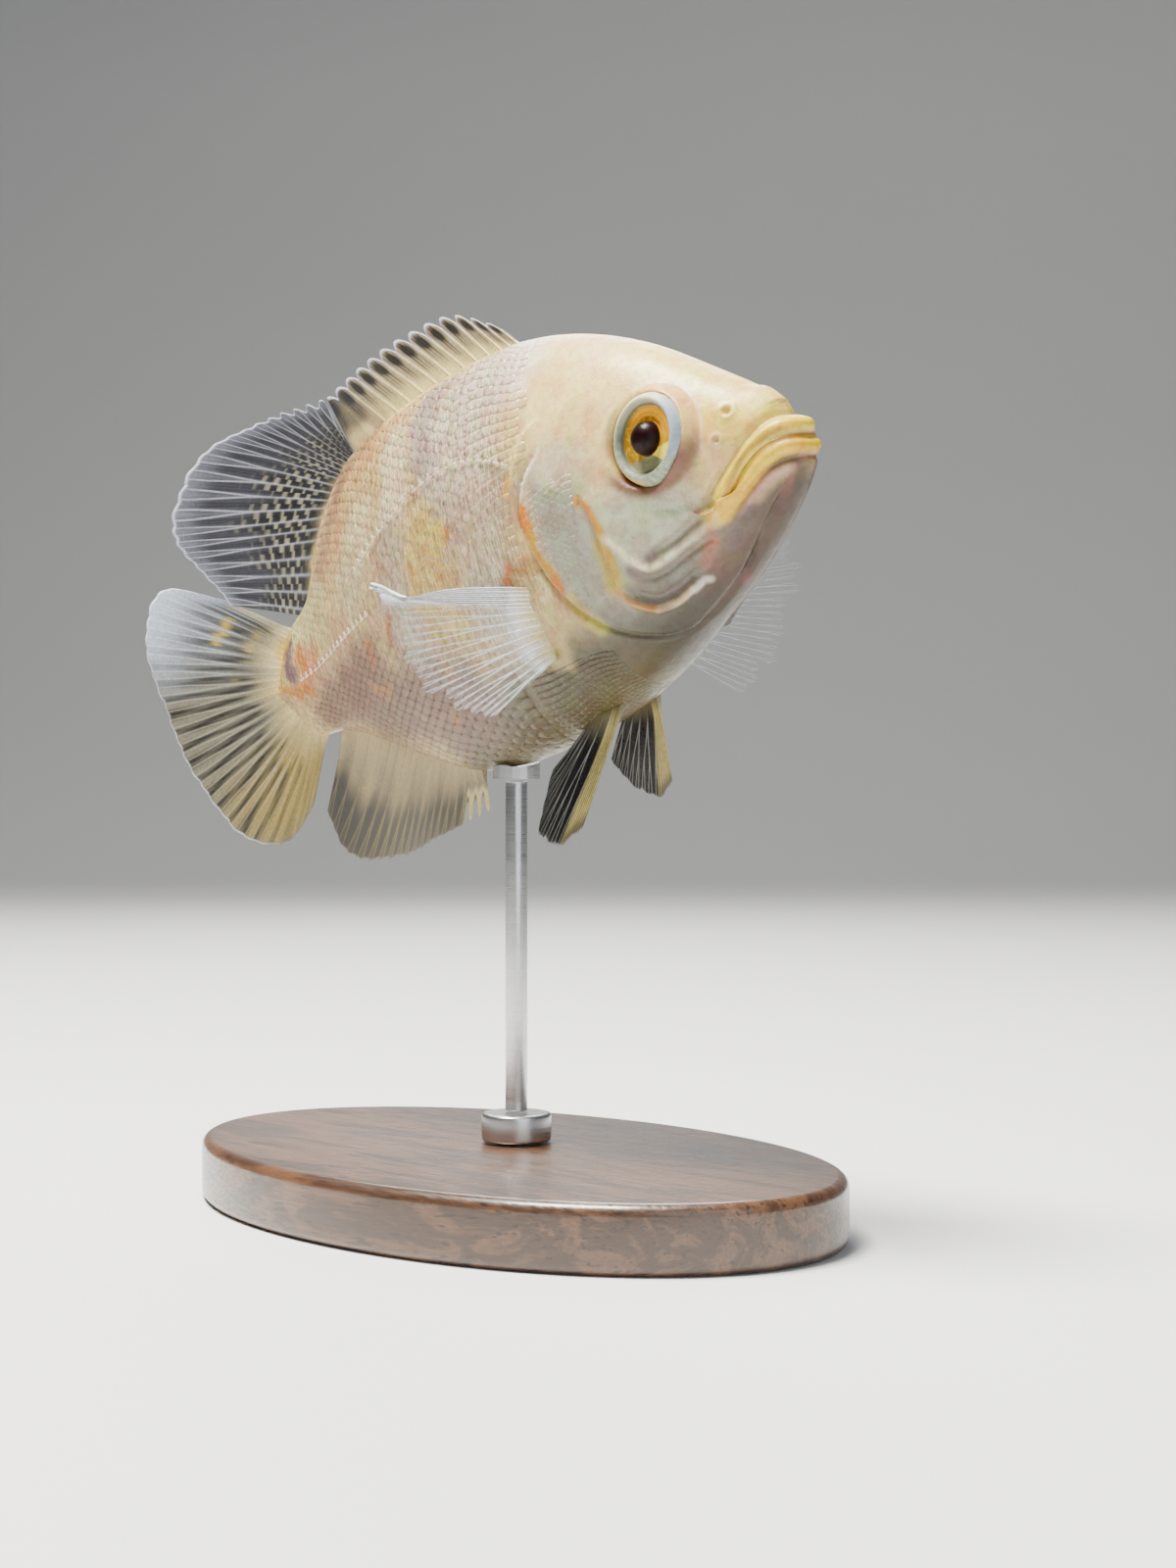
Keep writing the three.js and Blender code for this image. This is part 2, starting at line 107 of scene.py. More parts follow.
def curve_through(points, shares):
    """Points at shares, from 0 to 1, of a smooth curve that spends an equal share between any two points."""
    points = np.array(points, float)
    last = len(points) - 1
    padded = np.vstack([2 * points[0] - points[1], points, 2 * points[-1] - points[-2]])
    spot = np.clip(np.asarray(shares, float), 0, 1) * last
    index = np.minimum(spot.astype(int), last - 1)
    w = (spot - index)[:, None]
    p0, p1, p2, p3 = (padded[index + k] for k in range(4))
    d0, d1, d2 = (
        np.maximum(np.linalg.norm(a - b, axis=1)[:, None], 1e-8) ** 0.5
        for a, b in ((p0, p1), (p1, p2), (p2, p3))
    )
    t1 = ((p1 - p0) / d0 - (p2 - p0) / (d0 + d1) + (p2 - p1) / d1) * d1
    t2 = ((p2 - p1) / d1 - (p3 - p1) / (d1 + d2) + (p3 - p2) / d2) * d1
    cubic = (2 * p1 - 2 * p2 + t1 + t2) * w**3
    return p1 + t1 * w + (3 * p2 - 3 * p1 - 2 * t1 - t2) * w**2 + cubic


def along_curve(points, shares):
    """Points at shares, from 0 to 1, of the length of a smooth curve through points."""
    dense = curve_through(points, np.linspace(0, 1, 400))
    steps = np.linalg.norm(np.diff(dense, axis=0), axis=1)
    length = np.concatenate([[0], np.cumsum(steps)])
    spots = np.asarray(shares, float) * length[-1]
    return np.stack([np.interp(spots, length, dense[:, k]) for k in range(dense.shape[1])], -1)


def smooth(x):
    """0 below 0, 1 above 1, and a smooth rise between."""
    x = np.clip(x, 0, 1)
    return x * x * (3 - 2 * x)


def bump(x):
    """A soft bell that is 1 at 0 and nearly 0 beyond 2."""
    return np.exp(-np.square(x))


def turn_at(s):
    """Sideways turn of the backbone at s."""
    return sum(angle * smooth((s / STANDARD_LENGTH - start) / over) for start, over, angle in SWINGS)


BACKBONE_S = np.arange(0, TOTAL_LENGTH + 6, 1.0)
BACKBONE_TURN = turn_at(BACKBONE_S)
BACKBONE_MID_TURN = turn_at(BACKBONE_S[1:] - 0.5)
BACKBONE_X = -np.concatenate([[0], np.cumsum(np.cos(BACKBONE_MID_TURN))])
BACKBONE_Y = -np.concatenate([[0], np.cumsum(np.sin(BACKBONE_MID_TURN))])


def bent(points):
    """Swings points (s, y, z) of the straight fish to their places on the bent one."""
    s, y, z = np.moveaxis(points, -1, 0)
    behind = np.maximum(s, 0)
    turn = np.interp(behind, BACKBONE_S, BACKBONE_TURN)
    x = np.interp(behind, BACKBONE_S, BACKBONE_X) - y * np.sin(turn)
    across = np.interp(behind, BACKBONE_S, BACKBONE_Y) + y * np.cos(turn)
    return np.stack([np.where(s < 0, -s, x), across, z], -1)


def to_row(points):
    """Brings points (s, y, z) of the straight fish to the model's frame, in metres."""
    x, y, z = np.moveaxis(bent(points), -1, 0)
    y, z = y * math.cos(LEAN) - z * math.sin(LEAN), y * math.sin(LEAN) + z * math.cos(LEAN)
    x, z = x * math.cos(CLIMB) - z * math.sin(CLIMB), x * math.sin(CLIMB) + z * math.cos(CLIMB)
    return (np.stack([x, y, z], -1) + SNOUT) * MM


def hoop_points(rings, angles):
    """Points of the left side on the hoops at rings, which counts in hoops, at angles from the back."""
    shares = np.asarray(rings) / LAST_HOOP
    back = curve_through([(h[0][0], 0, h[0][1]) for h in HOOPS], shares)
    side = curve_through([h[1] for h in HOOPS], shares)
    belly = curve_through([(h[2][0], 0, h[2][1]) for h in HOOPS], shares)
    shape = curve_through([h[3] for h in HOOPS], shares)
    rise = np.cos(angles)[None, :]
    reach = np.sin(angles)[None, :]
    upper = rise > 0
    power = 2 / np.where(upper, shape[:, :1], shape[:, 1:2])
    share = np.abs(rise) ** power
    end_s = np.where(upper, back[:, :1], belly[:, :1])
    end_z = np.where(upper, back[:, 2:], belly[:, 2:])
    s = side[:, :1] + (end_s - side[:, :1]) * share
    y = side[:, 1:2] * np.clip(reach, 0, 1) ** power
    arch = ARCH_HEIGHT * shape[:, 2:] * share * (1 - share)
    z = side[:, 2:] + (end_z - side[:, 2:]) * share + arch
    return np.stack([s, y, z], -1)


def evenly(lines, count):
    """count + 1 points at even lengths on each line of points, and the lines' lengths."""
    steps = np.linalg.norm(np.diff(lines, axis=1), axis=2)
    lengths = np.concatenate([np.zeros((len(lines), 1)), np.cumsum(steps, axis=1)], axis=1)
    spaced = np.empty((len(lines), count + 1, 3))
    for i, (line, length) in enumerate(zip(lines, lengths)):
        spots = np.linspace(0, length[-1], count + 1)
        for k in range(3):
            spaced[i, :, k] = np.interp(spots, length, line[:, k])
    return spaced, lengths[:, -1]


def body_surface(rings, columns):
    """Bare body without relief, one row a ring, and the lengths from the side's widest line to the
    back and to the belly. The columns run from the belly up the right side, over the back and down
    the left side."""
    angles = np.linspace(0, math.pi, 241)
    left = hoop_points(rings, angles)
    upper, up_length = evenly(left[:, :121], columns // 4)
    lower, down_length = evenly(left[:, 120:], columns // 4)
    half = np.concatenate([upper, lower[:, 1:]], axis=1)
    mirrored = half[:, :0:-1] * (1, -1, 1)
    return np.concatenate([mirrored, half], axis=1), up_length, down_length


def outward(points):
    """Unit normals of a body surface."""
    wrapped = np.concatenate([points[:, -2:-1], points, points[:, 1:2]], axis=1)
    across = wrapped[:, 2:] - wrapped[:, :-2]
    back = np.gradient(points, axis=0)
    normal = np.cross(back, across)
    length = np.linalg.norm(normal, axis=-1, keepdims=True)
    return normal / np.maximum(length, 1e-9)


@lru_cache(maxsize=None)
def side_table():
    """Points of the left side, from which a side view (s, z) finds how far out it lies."""
    return hoop_points(np.linspace(0, LAST_HOOP, 320), np.linspace(0, math.pi, 121)).reshape(-1, 3)


def on_side(path):
    """Places the points of a path on the left side of the body. A point (s, z) is seen from the side."""
    table = side_table()
    placed = []
    for point in path:
        if len(point) == 3:
            placed.append(point)
            continue
        near = np.square(table[:, 0] - point[0]) + np.square(table[:, 2] - point[1])
        placed.append((point[0], table[np.argmin(near), 1], point[1]))
    return np.array(placed, float)


def from_line(points, path):
    """Distance of each point to a smooth line on either side of the body, with the side of the line
    that it lies on as sign: above or in front of a line that is given from front to back or top to
    bottom. Also the share of the line's length at the nearest place."""
    placed = on_side(path)
    if len(placed) == 1:
        line = placed
    else:
        line = along_curve(placed, np.linspace(0, 1, 12 * len(placed)))
    flat = points.reshape(-1, 3) * (1, 0, 1) + np.abs(points.reshape(-1, 3)) * (0, 1, 0)
    distance = np.full(len(flat), np.inf)
    nearest = np.zeros(len(flat), int)
    for i, spot in enumerate(line):
        away = np.linalg.norm(flat - spot, axis=1)
        closer = away < distance
        distance[closer] = away[closer]
        nearest[closer] = i
    if len(line) == 1:
        return distance.reshape(points.shape[:-1]), np.zeros(points.shape[:-1])
    heading = np.gradient(line, axis=0)[nearest]
    offset = flat - line[nearest]
    cross = heading[:, 0] * offset[:, 2] - heading[:, 2] * offset[:, 0]
    along = nearest / (len(line) - 1)
    signed = np.where(cross >= 0, distance, -distance)
    return signed.reshape(points.shape[:-1]), along.reshape(points.shape[:-1])


# Lines on the head, as side views (s, z), or (s, y, z) under the chin
GILL_EDGE = [
    (35.2, 11.4), (38.3, 9.0), (40.4, 5.2), (40.6, 0.5), (38.7, -6.4),
    (34.9, -12.4), (30.2, -16.2), (25.0, -17.4), (19.6, -15.4),
]
CHEEK_EDGE = [(30.4, 3.2), (29.6, -1.2), (29.2, -6.5), (29.8, -10.4)]
PLATE_FOLD = [
    (29.6, -10.6), (29.1, -11.9), (27.9, -13.1), (26.0, -14.1), (23.4, -14.0), (20.8, -13.2), (18.9, -12.6),
]
PLATE_GROOVE = [(28.2, -10.6), (27.2, -11.8), (25.3, -12.9), (22.8, -12.6), (20.4, -11.9), (18.4, -11.2)]
CHEEK_FOLD = [
    (28.2, -3.6), (26.8, -5.9), (25.6, -7.8), (24.0, -9.1),
    (21.7, -8.9), (19.4, -8.1), (17.0, -7.3), (14.6, -6.4),
]
CHEEK_GROOVE = [
    (23.6, -7.9), (21.7, -7.4), (19.5, -6.9), (17.4, -6.1), (15.3, -5.3), (13.8, -4.5), (13.0, -3.7),
]
FOLD_EDGE = [(26.8, -8.6), (24.9, -10.3), (22.0, -10.1), (18.6, -9.1), (15.6, -8.3), (13.4, -7.6)]
CHIN_GROOVE = [(4.6, 2.6, -5.6), (10.5, 2.4, -10.4), (17.9, 2.4, -14.9), (24.0, 2.8, -18.0)]
SHOULDER_EDGE = [(35.0, 15.6), (38.0, 14.0), (40.3, 11.4), (41.4, 8.2)]
NOSTRIL = (8.3, 6.2)
BACK_NOSTRIL = (10.1, 2.9)
PORES = [
    (12.6, -9.4), (15.2, -8.9), (17.6, -10.9), (20.2, -12.0), (9.4, -6.9), (13.6, 1.2),
    (12.8, 8.8), (14.6, 11.0), (24.2, -12.2), (27.4, 12.8), (31.0, 13.6),
]

UPPER_LIP = [
    (1.3, 0, 1.9), (2.1, 2.6, 2.2), (3.8, 4.4, 2.0), (5.7, 5.5, 1.1), (7.8, 6.3, -0.2),
    (9.6, 6.8, -1.6), (11.3, 7.2, -3.1), (12.7, 7.6, -4.7), (13.8, 7.9, -5.8),
]
LIP_GROOVE = [
    (2.9, 0, 4.3), (3.7, 3.1, 4.0), (5.0, 4.7, 3.1), (6.8, 6.0, 1.7), (8.8, 6.8, 0.2),
    (10.9, 7.3, -1.2), (12.9, 7.7, -2.7), (14.8, 8.2, -4.4), (17.0, 8.8, -5.5),
]
LOWER_LIP = [
    (1.2, 0, -0.9), (2.0, 2.6, -0.7), (3.8, 4.2, -0.8), (5.9, 5.2, -1.6), (7.7, 5.8, -2.8),
    (9.4, 6.3, -4.0), (11.2, 6.8, -5.3), (12.6, 7.2, -6.3),
]
LIP_CREASE = [
    (3.0, 3.6, 1.6), (4.6, 4.7, 1.2), (6.6, 5.8, 0.4), (8.5, 6.4, -0.9), (10.0, 6.7, -2.4), (11.4, 7.1, -4.0),
]
HOOD = [(3.0, 0, 5.4), (4.6, 0, 7.6), (7.4, 0, 10.2)]
LIP_EDGE = [
    (1.4, 0, -2.5), (2.9, 3.2, -2.4), (4.8, 4.6, -2.6), (6.5, 5.4, -3.3), (8.4, 6.0, -4.5),
    (10.2, 6.5, -5.6), (12.0, 6.9, -6.8), (13.6, 7.2, -7.8),
]
JAW_RIDGE = [
    (3.0, 3.0, -3.5), (4.9, 4.4, -3.5), (6.6, 5.3, -4.3), (8.5, 5.9, -5.5), (10.6, 6.3, -7.0),
    (12.6, 6.6, -8.4),
]
CHIN_FOLD = [(4.4, 2.6, -4.9), (7.2, 3.1, -7.3), (9.9, 3.2, -9.6), (13.3, 2.6, -12.3), (16.2, 1.6, -14.4)]
JAW_REAR = [(13.9, 7.7, -6.6), (15.4, 7.2, -8.4), (16.6, 6.9, -9.9), (17.7, 6.7, -11.0)]
FIN_BASE = [(42.4, -5.6), (42.0, -10.0), (43.4, -14.6)]

# Ridges and, below 0, grooves: line, height, half width in millimetres, and the share of the line
# over which it rises at its start and dies away at its end
RIDGES = [
    (UPPER_LIP, 0.70, 1.20, 0.0, 0.10),
    (LIP_CREASE, -0.26, 0.40, 0.3, 0.30),
    (LIP_GROOVE, -0.72, 0.62, 0.0, 0.25),
    (HOOD, 0.75, 2.60, 0.2, 0.50),
    (LOWER_LIP, 0.66, 0.95, 0.0, 0.45),
    (LIP_EDGE, -0.46, 0.48, 0.0, 0.35),
    (JAW_RIDGE, 0.24, 0.70, 0.3, 0.40),
    (CHIN_FOLD, -0.50, 0.50, 0.2, 0.25),
    (CHEEK_FOLD, 0.46, 0.72, 0.3, 0.20),
    (CHEEK_GROOVE, -0.70, 0.75, 0.3, 0.06),
    (FOLD_EDGE, -0.46, 0.60, 0.3, 0.20),
    (PLATE_FOLD, 0.62, 0.50, 0.2, 0.10),
    (PLATE_GROOVE, -0.45, 0.60, 0.2, 0.15),
    (CHIN_GROOVE, -0.45, 0.55, 0.2, 0.20),
    (SHOULDER_EDGE, 0.22, 0.60, 0.2, 0.20),
    (FIN_BASE, 0.75, 1.70, 0.2, 0.20),
]


def eye_offset(points):
    """How far each point lies from the eye's centre in side view, and how far behind and above it."""
    s = points[..., 0] - EYE_CENTRE[0]
    z = points[..., 2] - EYE_CENTRE[2]
    return np.hypot(s, z), s, z


def orbit_relief(points):
    """The socket that the eye sits in, and the fleshy ring round it, broadest in front."""
    away, s, _ = eye_offset(points)
    side = np.abs(points[..., 1]) > 3
    front = smooth((2 - s) / 6)
    rim = EYE_RADIUS - 0.95 * front
    socket = -3.2 * smooth((rim + 0.10 - away) / 0.8)
    groove = -0.25 * (1 - front) * bump((away - rim - 0.25) / 0.35)
    reach = 1.3 + 0.9 * front
    ring = smooth((away - rim) / 0.35) * (0.16 + 1.33 * front) * smooth((rim + reach - away) / reach)
    edge = 0.22 * front * smooth((rim + reach - 0.1 - away) / 0.30) * smooth((away - rim) / 0.4)
    return np.where(side, socket + groove + ring + edge, 0)


def relief(points):
    """Height of the head's forms above the bare body."""
    height = orbit_relief(points)
    for line, rise, half_width, start, end in RIDGES:
        distance, along = from_line(points, line)
        fade = smooth((along + 1e-3) / max(start, 1e-3)) * smooth((1.001 - along) / end)
        height += rise * fade * bump(distance / half_width)
    for line, rise, fall, groove in ((GILL_EDGE, 0.60, 3.2, 0.55), (CHEEK_EDGE, 0.50, 2.2, 0.35)):
        distance, along = from_line(points, line)
        fade = smooth(along / 0.12) * smooth((1 - along) / 0.15)
        plate = rise * np.exp(-np.maximum(-distance, 0) / fall) * smooth((0.25 - distance) / 0.5)
        slit = groove * bump((distance - 0.5) / 0.5)
        height += fade * (plate - slit)
    for spot, radius, depth in ((NOSTRIL, 0.50, 0.5), (BACK_NOSTRIL, 0.35, 0.25)):
        distance, _ = from_line(points, [spot])
        height += 0.20 * bump((distance - 1.7 * radius) / radius) - depth * bump(distance / radius)
    for spot in PORES:
        distance, _ = from_line(points, [spot])
        height -= 0.12 * bump(distance / 0.4)
    return height


def skin_surface(rings, columns, depth):
    """Skin with its relief, depth below the bare body, and the lengths to the back and the belly."""
    points, up_length, down_length = body_surface(rings, columns)
    normal = outward(points)
    ring = np.asarray(rings)[:, None]
    head = np.asarray(rings) < SHOULDER + 0.9
    height = np.zeros(points.shape[:2])
    height[head] = relief(points[head])
    # The mouth line and the thin end on the tail fin stay where they close
    closing = smooth(ring / 0.25) * smooth((LAST_HOOP - ring) / 0.5)
    shifted = points + normal * ((height - depth) * closing)[..., None]
    # The fold behind the mouth's corner is smoothed out
    distance, _ = from_line(points, [(14.0, 7.8, -5.3), (16.8, 8.8, -4.1)])
    share = 0.8 * smooth((1.7 - np.abs(distance[1:-1, 1:-1, None])) / 1.2)
    for _ in range(20 if share.any() else 0):
        near = shifted[:-2, 1:-1] + shifted[2:, 1:-1] + shifted[1:-1, :-2] + shifted[1:-1, 2:]
        shifted[1:-1, 1:-1] += share * (near / 4 - shifted[1:-1, 1:-1])
    middle = np.isin(np.arange(columns + 1), (0, columns // 2, columns))
    shifted[:, middle, 1] = 0
    return shifted, up_length, down_length


# Colours and markings
def colour(code):
    """Linear red, green and blue of a colour code such as 'ddbe96'."""
    parts = np.array([int(code[i : i + 2], 16) for i in (0, 2, 4)]) / 255
    return tuple(np.where(parts <= 0.04045, parts / 12.92, ((parts + 0.055) / 1.055) ** 2.4))


# Markings of the body, laid on in this order: colour, strength, reach and softness in millimetres,
# and the line that each follows in side view. A line of one point is a round spot.
MARKS = [
    ("f0dc98", 0.95, 9.0, 8.0, [(12, 12), (22, 19), (32, 24), (40, 27)]),  # crown
    ("f0e080", 0.90, 3.5, 4.0, [(5, 5.5), (12, 12.5), (20, 18.5)]),  # forehead
    ("efd95c", 0.85, 2.4, 3.0, [(5, 3.5), (8, 5.0), (10.5, 6.5)]),  # snout
    ("e6c48a", 0.70, 2.4, 2.6, [(11.5, 1.0), (13, -1.5)]),  # before the eye
    ("b4c0ae", 0.92, 5.2, 4.0, [(20, -4), (26, -4)]),  # cheek
    ("94998f", 0.95, 4.8, 3.0, [(34, 6), (34, -2), (32.5, -9), (27.5, -15.5), (20, -14)]),
    ("6c7269", 0.85, 2.8, 2.2, [(25, -12), (19, -11.5)]),  # painted shade between the folds
    ("dbcfad", 0.60, 1.8, 2.6, [(30, 7), (34, 8.5)]),
    ("64463a", 0.96, 4.6, 3.2, [(5, -4.4), (8.6, -7.0), (13, -11), (17, -14.2)]),  # lower jaw, mauve brown, darker with painted shade beneath
    ("625b5d", 0.60, 0.9, 1.6, [(6.1, 4.2, -4.6), (9.8, 5.4, -7.0), (13.5, 5.6, -9.8)]),
    ("3a2d1f", 0.96, 4.3, 3.5, [(6, 0, -7.5), (12, 0, -12), (20, 0, -17), (28, 0, -20)]),  # chin, dark with painted shade beneath
    ("352f24", 0.98, 6.8, 4.2, [(24, 3, -18.5), (30, 5, -20), (37, 7, -21.5), (43, 8, -22.5)]),  # throat, dark with painted shade beneath
    ("e8e2d8", 0.95, 8.0, 2.4, [(42, 26), (49, 23), (52, 16)]),  # pale saddle behind the nape
    ("b9aeae", 0.90, 2.6, 2.0, [(56.5, 29), (59.6, 24), (58.6, 17)]),
    ("c2b29e", 0.90, 4.4, 3.0, [(44, 7.5), (50, 8.5), (56, 8.5)]),
    ("dccfb8", 0.80, 3.0, 3.0, [(46, 14), (52, 17)]),
    ("ece6c4", 0.95, 3.4, 1.8, [(67, 27), (66.5, 20), (67.5, 14)]),  # cream band
    ("e0cc70", 0.90, 4.3, 1.4, [(60.5, 8), (61, 0), (60.5, -7)]),  # yellow bars
    ("cdb67c", 0.55, 1.0, 1.2, [(61.5, 10), (62, 0), (61.5, -8)]),
    ("ddb406", 0.75, 0.6, 1.0, [(56.4, 8.6), (56.2, 6.4)]),
    ("d7a706", 0.70, 0.5, 1.0, [(65.2, 5), (65.0, 0), (64.0, -5)]),
    ("d2cdbb", 0.80, 4.2, 3.2, [(49, 0), (50, -6)]),
    ("bbb3a4", 0.85, 4.0, 3.0, [(70.5, 9), (71.5, 1), (70, -5)]),
    ("d8b27c", 0.90, 3.0, 2.0, [(66, 28.5), (74, 26.5), (81, 24), (86, 20), (88.5, 14.5)]),  # fin's sheath
    ("e9d98d", 0.92, 2.4, 1.6, [(46, 29.8), (60, 30.6), (72, 30.2)]),
    ("9c7c5c", 0.80, 2.0, 2.4, [(75, 29), (80, 27.5), (86, 25)]),
    ("a27c70", 0.60, 1.8, 2.2, [(87, 22.5), (93, 17), (99, 10)]),
    ("6f6650", 0.85, 1.4, 1.2, [(88, 27.5), (98, 22.6), (104.5, 15.5), (108.5, 11)]),  # foot of the soft fin, grey olive, with painted shade where fin meets body
    ("a89468", 0.92, 4.4, 3.0, [(77, -25.5), (90, -20), (103, -13.5)]),  # foot of the anal fin
    ("d5b98d", 0.85, 7.0, 5.0, [(80, 8), (88, 1), (98, -2)]),
    ("e2e1b8", 0.70, 3.4, 4.0, [(78, 15), (84, 8)]),
    ("4e4a34", 0.95, 7.0, 6.0, [(38, -20), (52, -21), (64, -19.5)]),  # belly, dark with painted shade beneath
    # painted shade along the underside of the belly
    ("574f2c", 0.92, 4.2, 5.0, [(38, 4, -25), (46, 3, -27), (58, 3, -27), (70, 3, -25)]),
    ("704c34", 0.94, 6.0, 5.0, [(65, -15), (76, -13), (90, -9.5)]),  # brown above the anal fin
    ("dadca5", 0.90, 3.6, 3.6, [(100, 9), (108, 6.5)]),
    ("cdbd8c", 0.92, 2.6, 2.4, [(114, 10.5), (119, 9), (122, 4)]),  # root of the tail fin
    ("b8a468", 0.92, 3.2, 2.6, [(121.5, -1), (119.5, -7), (114, -11.5)]),
    ("7c5238", 0.88, 3.4, 3.0, [(84, -4), (93, -5.5), (105, -6.5)]),
    ("df9166", 0.80, 2.4, 2.4, [(104.5, 1.5), (108, 2.5)]),
    ("745277", 0.90, 1.9, 1.0, [(112.8, 6.4), (113.4, 4.2), (112.2, 2.2)]),  # tail spot and its gold rim
    ("dcb842", 0.95, 0.8, 0.9, [(111.8, 8.4), (114.8, 6.3), (116.0, 4.1), (116.9, 2.0), (117.2, 0.4)]),
    ("cc7f20", 0.97, 0.8, 0.8, [(108.0, 4.6), (107.8, 1.5)]),
    ("d68a00", 1.00, 1.20, 0.5, [(107.3, -2.4), (109.0, -1.9), (112.0, -1.2)]),
    ("da9000", 1.00, 0.75, 0.5, [(111.0, -1.2), (116.2, -0.4)]),
    ("a5803e", 0.88, 2.0, 2.2, [(44.6, -3.4), (42.6, -3.4), (41.2, -5.2)]),  # gold behind the gill, with painted shade behind the cover's edge
    ("c66c04", 1.00, 0.70, 0.5, [(46.3, -2.6), (46.6, -4.2)]),  # orange flecks
    ("bca676", 0.70, 0.9, 1.6, [(41.6, 7.4), (42.4, 5.0), (42.8, 1.4)]),  # shade behind the gill
    ("bc7404", 1.00, 0.85, 0.5, [(74.6, -0.4), (75.4, -3.0)]),  # flecks along the flank
    ("bc7404", 1.00, 0.95, 0.5, [(82.6, -1.2), (83.4, -3.8)]),
    ("b47c28", 0.95, 0.8, 0.9, [(81.4, -8.7), (83.0, -9.2)]),
    ("b47c28", 0.95, 0.8, 0.9, [(84.6, -7.4), (86.4, -7.4)]),
    ("b47a10", 0.90, 1.0, 1.0, [(64.3, -10.1)]),
    ("b47a10", 0.85, 0.9, 1.0, [(58.2, -11.7)]),
    ("9c7414", 0.70, 0.9, 1.4, [(68.0, -17.0)]),
    ("e8c206", 0.95, 0.6, 0.7, [(41.6, 9.6), (41.8, 8.6)]),
    ("b9a83c", 0.92, 1.1, 1.2, [(29.3, -4.0), (29.4, -7.0), (29.9, -9.6)]),  # cheek streak
    ("c4861c", 0.97, 0.70, 0.6, [(31.0, 2.6), (30.0, 1.2), (29.3, -1.4), (29.0, -3.4)]),
    ("c29a1c", 0.92, 0.50, 0.8, [(29.0, -2.4), (28.9, -5.2), (29.2, -8.4)]),
    ("d48600", 1.00, 0.45, 0.5, [(40.9, 5.8), (40.8, 4.4)]),  # orange gill edge
    ("d48400", 1.00, 1.15, 0.4, [(40.3, 4.0), (40.0, 2.0)]),
    ("d48400", 1.00, 0.70, 0.4, [(39.9, 2.0), (39.9, 0.4)]),
    ("c09418", 1.00, 0.50, 0.5, [(40.1, 1.0), (39.9, -1.2), (39.0, -3.2), (38.0, -5.4), (37.8, -7.2)]),
    ("cc7c08", 1.00, 0.65, 0.5, [(38.3, -6.2), (37.9, -8.0)]),
    ("b8b04a", 0.85, 1.0, 1.0, [(37.2, -9.4), (36.4, -11.4), (35.0, -13.6)]),
    ("f1efe6", 0.85, 0.35, 0.5, [(35.8, 11.2), (38.4, 8.8), (40.2, 6.2)]),  # painted highlights along the rims over the gill and the shoulder
    ("fae5a0", 0.85, 0.40, 0.6, [(35.4, 15.4), (38.0, 14.0), (40.2, 11.4), (41.3, 8.6)]),
    ("c9c8b4", 0.80, 0.50, 0.7, CHEEK_FOLD),
    ("f6f2da", 0.85, 0.26, 0.35, [(27.9, -4.0), (27.5, -4.9)]),  # pale flecks on the fold
    ("f6f2da", 0.85, 0.24, 0.35, [(26.8, -5.6), (26.3, -6.9)]),
    ("f6f2da", 0.90, 0.28, 0.35, [(25.7, -7.4), (25.0, -8.6), (24.4, -8.7)]),
    ("f6f2da", 0.85, 0.24, 0.35, [(23.5, -9.1), (22.5, -9.0)]),
    ("f6f2da", 0.75, 0.20, 0.35, [(21.4, -8.6), (20.3, -8.3)]),
    # painted shade in the cheek's groove
    ("6a545e", 0.90, 0.60, 0.8, CHEEK_GROOVE),
    ("c48c44", 0.85, 0.35, 0.45, [(29.8, -10.4), (29.1, -11.9), (27.9, -13.1), (26.2, -14.1)]),
    ("d9c9a0", 0.85, 0.30, 0.45, [(26.2, -14.1), (23.4, -14.0), (20.8, -13.2)]),
    # painted highlight at the front end of the plate's fold
    ("d8dcd4", 0.85, 0.35, 0.6, [(21.0, -13.4), (19.2, -12.8), (18.6, -12.9)]),
    # painted shade in the groove above the plate and along the cheek fold's lower edge
    ("6f6462", 0.80, 0.45, 0.8, PLATE_GROOVE),
    ("6a5f62", 0.85, 0.50, 0.8, FOLD_EDGE),
    ("9c6a5c", 0.85, 0.45, 0.9, JAW_REAR),
    ("c3a481", 0.80, 0.80, 1.2, [(3.6, 3.6, -3.6), (5.6, 4.8, -4.2), (7.9, 5.6, -5.6)]),
    # painted shade in the chin's fold and groove
    ("7d4640", 0.85, 0.40, 0.7, CHIN_FOLD),
    ("5c3730", 0.80, 0.50, 0.8, CHIN_GROOVE),
    ("e2d878", 0.90, 1.60, 0.9, UPPER_LIP),
    ("f0d418", 0.97, 0.95, 0.7, UPPER_LIP),
    ("ecc400", 0.95, 1.00, 0.7, LOWER_LIP),
    # painted shade, golden brown, in the crease between the lips
    ("b08434", 0.75, 0.18, 0.45, LIP_CREASE),
    # painted shade, dark red-brown, in the groove behind the upper lip
    ("83503e", 0.88, 0.28, 0.55, LIP_GROOVE),
    # pink along the jaw's ridge, with a painted highlight on it
    ("d0a09c", 0.85, 0.40, 0.6, JAW_RIDGE),
    # painted shade under the lower lip's edge
    ("8e5a50", 0.80, 0.20, 0.45, LIP_EDGE),
    ("f3e8c7", 0.85, 0.60, 0.7, [(13.7, 8.0, -6.0)]),
    ("c6b881", 0.88, 1.90, 1.6, FIN_BASE),
    ("eee7ba", 0.85, 0.50, 0.7, [(41.0, -5.0), (40.2, -7.4)]),
    ("c34d05", 0.88, 0.45, 0.5, [NOSTRIL]),
    ("76766e", 0.70, 0.35, 0.5, [BACK_NOSTRIL]),
    ("df7407", 0.60, 0.35, 0.6, [(15.2, -8.9)]),
    ("7d665c", 0.60, 0.30, 0.6, [(17.6, -10.9)]),
]
GROUND_COLOUR = "dcc48c"


